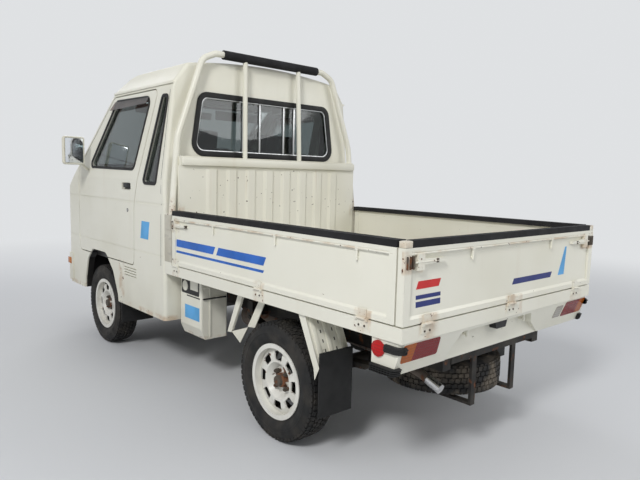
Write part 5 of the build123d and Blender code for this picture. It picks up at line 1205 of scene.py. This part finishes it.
def make_brackets():
    """Brackets before the rear wheels, and the mud guards' ribs with black strips between them as painted
    shade for slots.
    """
    strap = [(0.608, UNDER_BED_Z), (0.648, UNDER_BED_Z), (0.547, 0.400), (0.513, 0.396)]
    flange = strap[:2] + [(0.552, 0.410), (0.542, 0.410)]
    gusset = [(0.541, 0.402), (0.676, 0.450), (0.614, 0.362)]
    stay = [(0.768, UNDER_BED_Z), (0.812, UNDER_BED_Z), (0.727, 0.459), (0.668, 0.450)]
    edge = [(1.128, UNDER_BED_Z), (1.136, UNDER_BED_Z), (1.229, 0.412), (1.205, 0.360), (1.198, 0.405)]
    # Each rib's spots as (share of the way down, distance off the guard)
    rib_spots = ((0.02, -0.006), (0.06, 0.0), (0.80, 0.0), (0.86, -0.006))
    bent, slots = bmesh.new(), bmesh.new()
    for sign, _ in SIDES:
        add_plate(bent, strap, sign * 0.640, sign * 0.644)
        add_plate(bent, flange, sign * 0.632, sign * 0.640)
        add_plate(bent, gusset, sign * 0.634, sign * 0.638)
        add_plate(bent, stay, sign * 0.630, sign * 0.634)
        add_plate(bent, edge, sign * 0.6830, sign * 0.6855)
        for x in (0.530, 0.592, 0.654):
            rib = [on_guard(sign * x, share, off) for share, off in rib_spots]
            add_strip(bent, rib, (1, 0, 0), GUARD_OUT, 0.022, 0.008, closed=False)
        # Painted shade: thin black strips on each guard stand for its slots.
        for x in (0.561, 0.623):
            for share in (0.16, 0.34, 0.52, 0.70):
                slot = [on_guard(sign * x, end, 0.0004) for end in (share, share + 0.06)]
                add_strip(slots, slot, (1, 0, 0), GUARD_OUT, 0.005, 0.001, closed=False)
    piece("under bed brackets", bent, "bed paint", "chassis")
    make_battery_box(slots)


def make_battery_box(slots):
    """The battery box's opening as a black sheet of painted shade, its ribs and patch, and what shows in it;
    its dark parts join the slots.
    """
    face, rear = BOX_FACE_X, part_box("battery_box")[1].y + 0.0002
    # Painted shade: the opening is a thin black sheet on the box's face, standing for its inside.
    opening = rounded([
        (-0.002, 0.503, 0.010), (0.188, 0.503, 0.010), (0.188, 0.592, 0.010), (-0.002, 0.592, 0.040),
    ])
    add_plate(slots, opening, face, face + 0.0006)
    add_block(slots, (0.460, rear, 0.490), (0.601, rear + 0.0085, 0.497), 0.001)
    add_block(slots, (face, 0.058, 0.4905), (face + 0.0012, 0.194, 0.4965))
    piece("dark slots", slots, "black plastic", "chassis")
    box = bmesh.new()
    add_block(box, (0.548, rear, 0.285), (0.562, rear + 0.0035, 0.600), 0.0012)
    add_block(box, (0.455, rear, 0.548), (0.600, rear + 0.003, 0.556), 0.001)
    add_block(box, (face, 0.098, 0.530), (face + 0.004, 0.178, 0.584), 0.0015)
    add_rod(box, (face, 0.042, 0.545), (face + 0.004, 0.042, 0.545), 0.028, 28)
    add_block(box, (0.500, rear, 0.482), (0.526, rear + 0.006, 0.506), 0.002)
    piece("battery box ribs", box, "bed paint", "chassis")
    patch = [(face, y, z) for y, z in ((0.036, 0.369), (0.190, 0.369), (0.190, 0.442), (0.036, 0.442))]
    stripe("battery box patch", patch, (STRIPE_THICKNESS, 0, 0), "light blue stripe", "chassis")


def make_cabin():
    """Instruments, levers, pedals, belts, mirror and sun visors inside the cab."""
    dark = bmesh.new()
    add_block(dark, (-0.450, -1.345, 1.058), (-0.170, -1.250, 1.105), 0.012)
    add_rod(dark, (0.0, -1.150, 0.600), (-0.010, -1.115, 0.860), 0.008, 10)
    add_rod(dark, (-0.010, -1.115, 0.855), (-0.011, -1.112, 0.885), 0.021, 16)
    add_rod(dark, (-0.045, -0.800, 0.742), (-0.045, -0.960, 0.830), 0.011, 10)
    for x in (-0.360, -0.260, -0.180):
        add_block(dark, (x - 0.028, -1.402, 0.660), (x + 0.028, -1.386, 0.715), 0.004)
        add_rod(dark, (x, -1.392, 0.700), (x, -1.440, 0.845), 0.006, 8)
    for x in (-0.30, 0.30):
        add_block(dark, (x - 0.19, -0.850, 1.540), (x + 0.19, -0.838, 1.606), 0.005)
    add_block(dark, (-0.110, -0.915, 1.540), (0.110, -0.895, 1.590), 0.008)
    add_rod(dark, (0.0, -0.895, 1.580), (0.0, -0.860, 1.618), 0.008, 10)
    piece("cab controls", dark, "black plastic", "chassis")
    dials = bmesh.new()
    for x in (-0.365, -0.255):
        add_rod(dials, (x, -1.2505, 1.081), (x, -1.2480, 1.081), 0.019, 28)
    piece("blank dials", dials, "aluminium trim", "chassis")
    belts = bmesh.new()
    path = [(0.592, -0.215, 1.500), (0.600, -0.250, 1.20), (0.595, -0.330, 0.85), (0.590, -0.380, 0.640)]
    for sign, _ in SIDES:
        points = [(sign * x, y, z) for x, y, z in path]
        add_strip(belts, points, (0, 1, 0), (sign, 0, 0), 0.045, 0.002, closed=False)
    piece("seat belts", belts, "foam pad", "chassis")


def make_underside():
    """Chrome tail pipe, shock absorbers, tank straps and spring bolts."""
    chrome = bmesh.new()
    add_rod(chrome, (0.318, 1.475, 0.3602), (0.318, 1.537, 0.3365), 0.0205, 28)
    piece("tail pipe end", chrome, "bright steel", "chassis")
    dark = bmesh.new()
    for sign, _ in SIDES:
        foot = (sign * 0.395, REAR_AXLE_Y + 0.036, 0.300)
        middle = (sign * 0.3625, REAR_AXLE_Y + 0.110, 0.440)
        add_rod(dark, foot, middle, 0.0215, 18)
        add_rod(dark, middle, (sign * 0.3585, REAR_AXLE_Y + 0.119, 0.532), 0.0125, 14)
        x = sign * 0.430
        for y in (REAR_AXLE_Y - 0.045, REAR_AXLE_Y + 0.045):
            for side in (-0.027, 0.027):
                add_rod(dark, (x + side, y, 0.230), (x + side, y, 0.372), 0.0055, 10)
            add_rod(dark, (x - 0.027, y, 0.368), (x + 0.027, y, 0.368), 0.0055, 10)
    for x in (-0.430, -0.560):
        add_block(dark, (x - 0.012, 0.058, 0.288), (x + 0.012, 0.402, 0.2915))
        add_block(dark, (x - 0.012, 0.4005, 0.288), (x + 0.012, 0.4035, 0.522))
        add_block(dark, (x - 0.012, 0.0565, 0.288), (x + 0.012, 0.0595, 0.522))
    piece("springs and straps", dark, "frame black", "chassis")


# The add-on


class TruckTyres(bpy.types.PropertyGroup):
    """Sizes of the tyres' tread"""

    tread_count: bpy.props.IntProperty(
        name="Blocks Round", description="Tread blocks in one row", default=62, min=12, max=90,
    )
    tread_depth: bpy.props.FloatProperty(
        name="Tread Depth", description="Depth of the tread",
        default=0.0055, unit="LENGTH", min=0.002, max=0.012,
    )
    block_share: bpy.props.FloatProperty(
        name="Block Share", description="How much of its pitch a tread block fills",
        default=0.76, min=0.3, max=0.95,
    )


class TruckStage(bpy.types.PropertyGroup):
    """Light and floor round the truck"""

    floor_colour: bpy.props.FloatVectorProperty(
        name="Floor Colour", description="Colour of the floor",
        default=(0.66, 0.67, 0.68), subtype="COLOR", size=3,
    )
    backdrop_colour: bpy.props.FloatVectorProperty(
        name="Backdrop Colour", description="Colour behind the truck",
        default=(0.74, 0.755, 0.77), subtype="COLOR", size=3,
    )
    key_power: bpy.props.FloatProperty(
        name="Main Lamp", description="Power of the main lamp", default=255.0, unit="POWER",
    )
    fill_power: bpy.props.FloatProperty(
        name="Fill Lamp", description="Power of the fill lamps", default=82.0, unit="POWER",
    )


class KEITRUCK_OT_paint(bpy.types.Operator):
    """Give every CAD node its paint, glass or rubber"""

    bl_idname = "kei_truck.paint"
    bl_label = "Paint the Truck"

    def execute(self, context):
        paint_nodes()
        return {"FINISHED"}


class KEITRUCK_OT_tyres(bpy.types.Operator):
    """Make the tyres with their tread, the wheel nuts and the valves"""

    bl_idname = "kei_truck.tyres"
    bl_label = "Fit the Tyres"

    def execute(self, context):
        for name, side, axle_y in WHEELS:
            place = Matrix.Translation((side * WHEEL_X, axle_y, AXLE_Z))
            make_tyre(f"road tyre {name}", f"tyre_{name}", place, f"wheel_{name}", "tyre rubber")
            make_wheel_details(name, side, axle_y)
        low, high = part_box("spare_tyre")
        flat = Matrix.Translation((low + high) / 2) @ Matrix.Rotation(math.pi / 2, 4, "Y")
        make_tyre("spare tyre with tread", "spare_tyre", flat, "chassis", "dusty tyre rubber")
        return {"FINISHED"}


class KEITRUCK_OT_windows(bpy.types.Operator):
    """Make the window rubbers, bars and visors"""

    bl_idname = "kei_truck.windows"
    bl_label = "Seal the Windows"

    def execute(self, context):
        make_seals()
        make_window_trim()
        return {"FINISHED"}


class KEITRUCK_OT_doors(bpy.types.Operator):
    """Make the door handles, locks, mirror glass, linings and pressed lines"""

    bl_idname = "kei_truck.doors"
    bl_label = "Trim the Doors"

    def execute(self, context):
        make_door_details()
        make_side_lines()
        return {"FINISHED"}


class KEITRUCK_OT_front(bpy.types.Operator):
    """Make the front slats, wipers, bumper details and lamp bezels"""

    bl_idname = "kei_truck.front"
    bl_label = "Trim the Front"

    def execute(self, context):
        make_front()
        return {"FINISHED"}


class KEITRUCK_OT_bed(bpy.types.Operator):
    """Make the stripes, rails, latches, rivets, corners and brackets of the bed"""

    bl_idname = "kei_truck.bed"
    bl_label = "Trim the Bed"

    def execute(self, context):
        make_stripes()
        make_side_gate_details()
        make_tailgate_details()
        make_rear_corners()
        make_hinge_rivets()
        make_headboard_rail()
        make_brackets()
        return {"FINISHED"}


class KEITRUCK_OT_cabin(bpy.types.Operator):
    """Make the controls, dials, belts and visors in the cab"""

    bl_idname = "kei_truck.cabin"
    bl_label = "Fit the Cabin"

    def execute(self, context):
        make_cabin()
        return {"FINISHED"}


class KEITRUCK_OT_underside(bpy.types.Operator):
    """Make the tail pipe end, shock absorbers and straps"""

    bl_idname = "kei_truck.underside"
    bl_label = "Fit the Underside"

    def execute(self, context):
        make_underside()
        return {"FINISHED"}


def seen_directly(tree):
    """One for rays from the camera and for those seen in metal and glass."""
    rays = tree.nodes.new("ShaderNodeLightPath")
    shown = rays.outputs["Is Camera Ray"]
    for other in ("Is Glossy Ray", "Is Transmission Ray"):
        either = tree.nodes.new("ShaderNodeMath")
        either.operation = "MAXIMUM"
        tree.links.new(shown, either.inputs[0])
        tree.links.new(rays.outputs[other], either.inputs[1])
        shown = either.outputs[0]
    return shown


def mix_shaders(tree, factor, first, second, end):
    """Joins two shaders by a factor and leads them to an output node."""
    mixed = tree.nodes.new("ShaderNodeMixShader")
    for source, socket in zip((factor, first.outputs[0], second.outputs[0]), mixed.inputs):
        tree.links.new(source, socket)
    tree.links.new(mixed.outputs[0], tree.nodes[end].inputs["Surface"])


def floor_material(colour, backdrop, near, far):
    """A matt floor that passes into the backdrop's colour away from the truck."""
    f = Finish("pale floor", colour, 0.85, Specular_IOR_Level=0.2)
    f.colour(f.mix(f.times(f.noise(0.8, 3.0), 0.12), colour, tuple(0.9 * c for c in colour)))
    away = f.add("ShaderNodeVectorMath", operation="LENGTH")
    f.link(f.place, away.inputs[0])
    fade = f.times(f.step(away.outputs["Value"], near, far), seen_directly(f.tree))
    glow = f.add("ShaderNodeEmission")
    glow.inputs["Color"].default_value = opaque(backdrop)
    mix_shaders(f.tree, fade, f.shader, glow, "Material Output")
    return f.material


def make_floor(colour, backdrop):
    mesh = bmesh.new()
    bmesh.ops.create_grid(mesh, x_segments=1, y_segments=1, size=30.0)
    data = bpy.data.meshes.new("floor")
    mesh.to_mesh(data)
    mesh.free()
    floor = bpy.data.objects.new("floor", data)
    bpy.context.scene.collection.objects.link(floor)
    data.materials.append(floor_material(colour, backdrop, 2.6, 7.5))


def studio_world(backdrop, strength):
    """Soft even light, with the backdrop's own colour where it is seen."""
    world = bpy.data.worlds.new("studio")
    world.use_nodes = True
    tree = world.node_tree
    light, shown = tree.nodes["Background"], tree.nodes.new("ShaderNodeBackground")
    for node, colour, power in ((light, (0.93, 0.95, 1.0), strength), (shown, backdrop, 1.0)):
        node.inputs["Color"].default_value = opaque(colour)
        node.inputs["Strength"].default_value = power
    mix_shaders(tree, seen_directly(tree), light, shown, "World Output")
    return world


def area_lamp(name, place, aim, size, power):
    data = bpy.data.lights.new(name, "AREA")
    data.energy = power
    data.shape = "DISK"
    data.size = size
    lamp = bpy.data.objects.new(name, data)
    lamp.location = place
    lamp.rotation_euler = (Vector(aim) - Vector(place)).to_track_quat("-Z", "Y").to_euler()
    bpy.context.scene.collection.objects.link(lamp)


def make_camera():
    """The camera of the photograph, from its place and its three turns."""
    lens = bpy.data.cameras.new("camera")
    lens.sensor_width = 36.0
    lens.lens = CAMERA_LENS
    camera = bpy.data.objects.new("camera", lens)
    bpy.context.scene.collection.objects.link(camera)
    flat = math.cos(CAMERA_PITCH)
    forward = Vector((flat * math.cos(CAMERA_YAW), flat * math.sin(CAMERA_YAW), -math.sin(CAMERA_PITCH)))
    right = forward.cross(Vector((0, 0, 1))).normalized()
    down = forward.cross(right)
    c, s = math.cos(CAMERA_ROLL), math.sin(CAMERA_ROLL)
    right, down = c * right + s * down, -s * right + c * down
    turn = Matrix((right, -down, -forward)).transposed()
    camera.matrix_world = Matrix.Translation(CAMERA_PLACE) @ turn.to_4x4()
    return camera


class KEITRUCK_OT_stage(bpy.types.Operator):
    """Make the floor, the lamps, the world and the camera"""

    bl_idname = "kei_truck.stage"
    bl_label = "Set the Stage"

    def execute(self, context):
        scene, settings = context.scene, context.scene.kei_truck_stage
        backdrop = tuple(settings.backdrop_colour)
        make_floor(tuple(settings.floor_colour), backdrop)
        scene.world = studio_world(backdrop, 0.45)
        area_lamp("main lamp", (5.0, 3.4, 4.8), (0.0, 0.2, 0.7), 1.5, settings.key_power)
        area_lamp("rear lamp", (-3.2, 5.0, 3.2), (0.0, 0.4, 0.7), 3.2, settings.fill_power)
        area_lamp("front lamp", (-1.5, -5.5, 3.8), (0.0, 0.0, 0.8), 3.6, 1.2 * settings.fill_power)
        scene.view_settings.view_transform = "Standard"
        scene.camera = make_camera()
        return {"FINISHED"}


OPERATORS = (
    KEITRUCK_OT_paint, KEITRUCK_OT_tyres, KEITRUCK_OT_windows, KEITRUCK_OT_doors, KEITRUCK_OT_front,
    KEITRUCK_OT_bed, KEITRUCK_OT_cabin, KEITRUCK_OT_underside, KEITRUCK_OT_stage,
)


class KEITRUCK_PT_panel(bpy.types.Panel):
    """The truck's operators and settings"""

    bl_idname = "KEITRUCK_PT_panel"
    bl_label = "Kei Truck"
    bl_space_type = "VIEW_3D"
    bl_region_type = "UI"
    bl_category = "Kei Truck"

    def draw(self, context):
        scene = context.scene
        for name in ("tread_count", "tread_depth", "block_share"):
            self.layout.prop(scene.kei_truck_tyres, name)
        for name in ("floor_colour", "backdrop_colour", "key_power", "fill_power"):
            self.layout.prop(scene.kei_truck_stage, name)
        for operator in OPERATORS:
            self.layout.operator(operator.bl_idname)


CLASSES = (TruckTyres, TruckStage, *OPERATORS, KEITRUCK_PT_panel)


def register():
    for cls in CLASSES:
        bpy.utils.register_class(cls)
    bpy.types.Scene.kei_truck_tyres = bpy.props.PointerProperty(type=TruckTyres)
    bpy.types.Scene.kei_truck_stage = bpy.props.PointerProperty(type=TruckStage)


def unregister():
    del bpy.types.Scene.kei_truck_stage
    del bpy.types.Scene.kei_truck_tyres
    for cls in reversed(CLASSES):
        bpy.utils.unregister_class(cls)


def main():
    """Registers the add-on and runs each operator."""
    register()
    for operator in OPERATORS:
        group, name = operator.bl_idname.split(".")
        getattr(getattr(bpy.ops, group), name)()


if __name__ == "__main__":
    main()
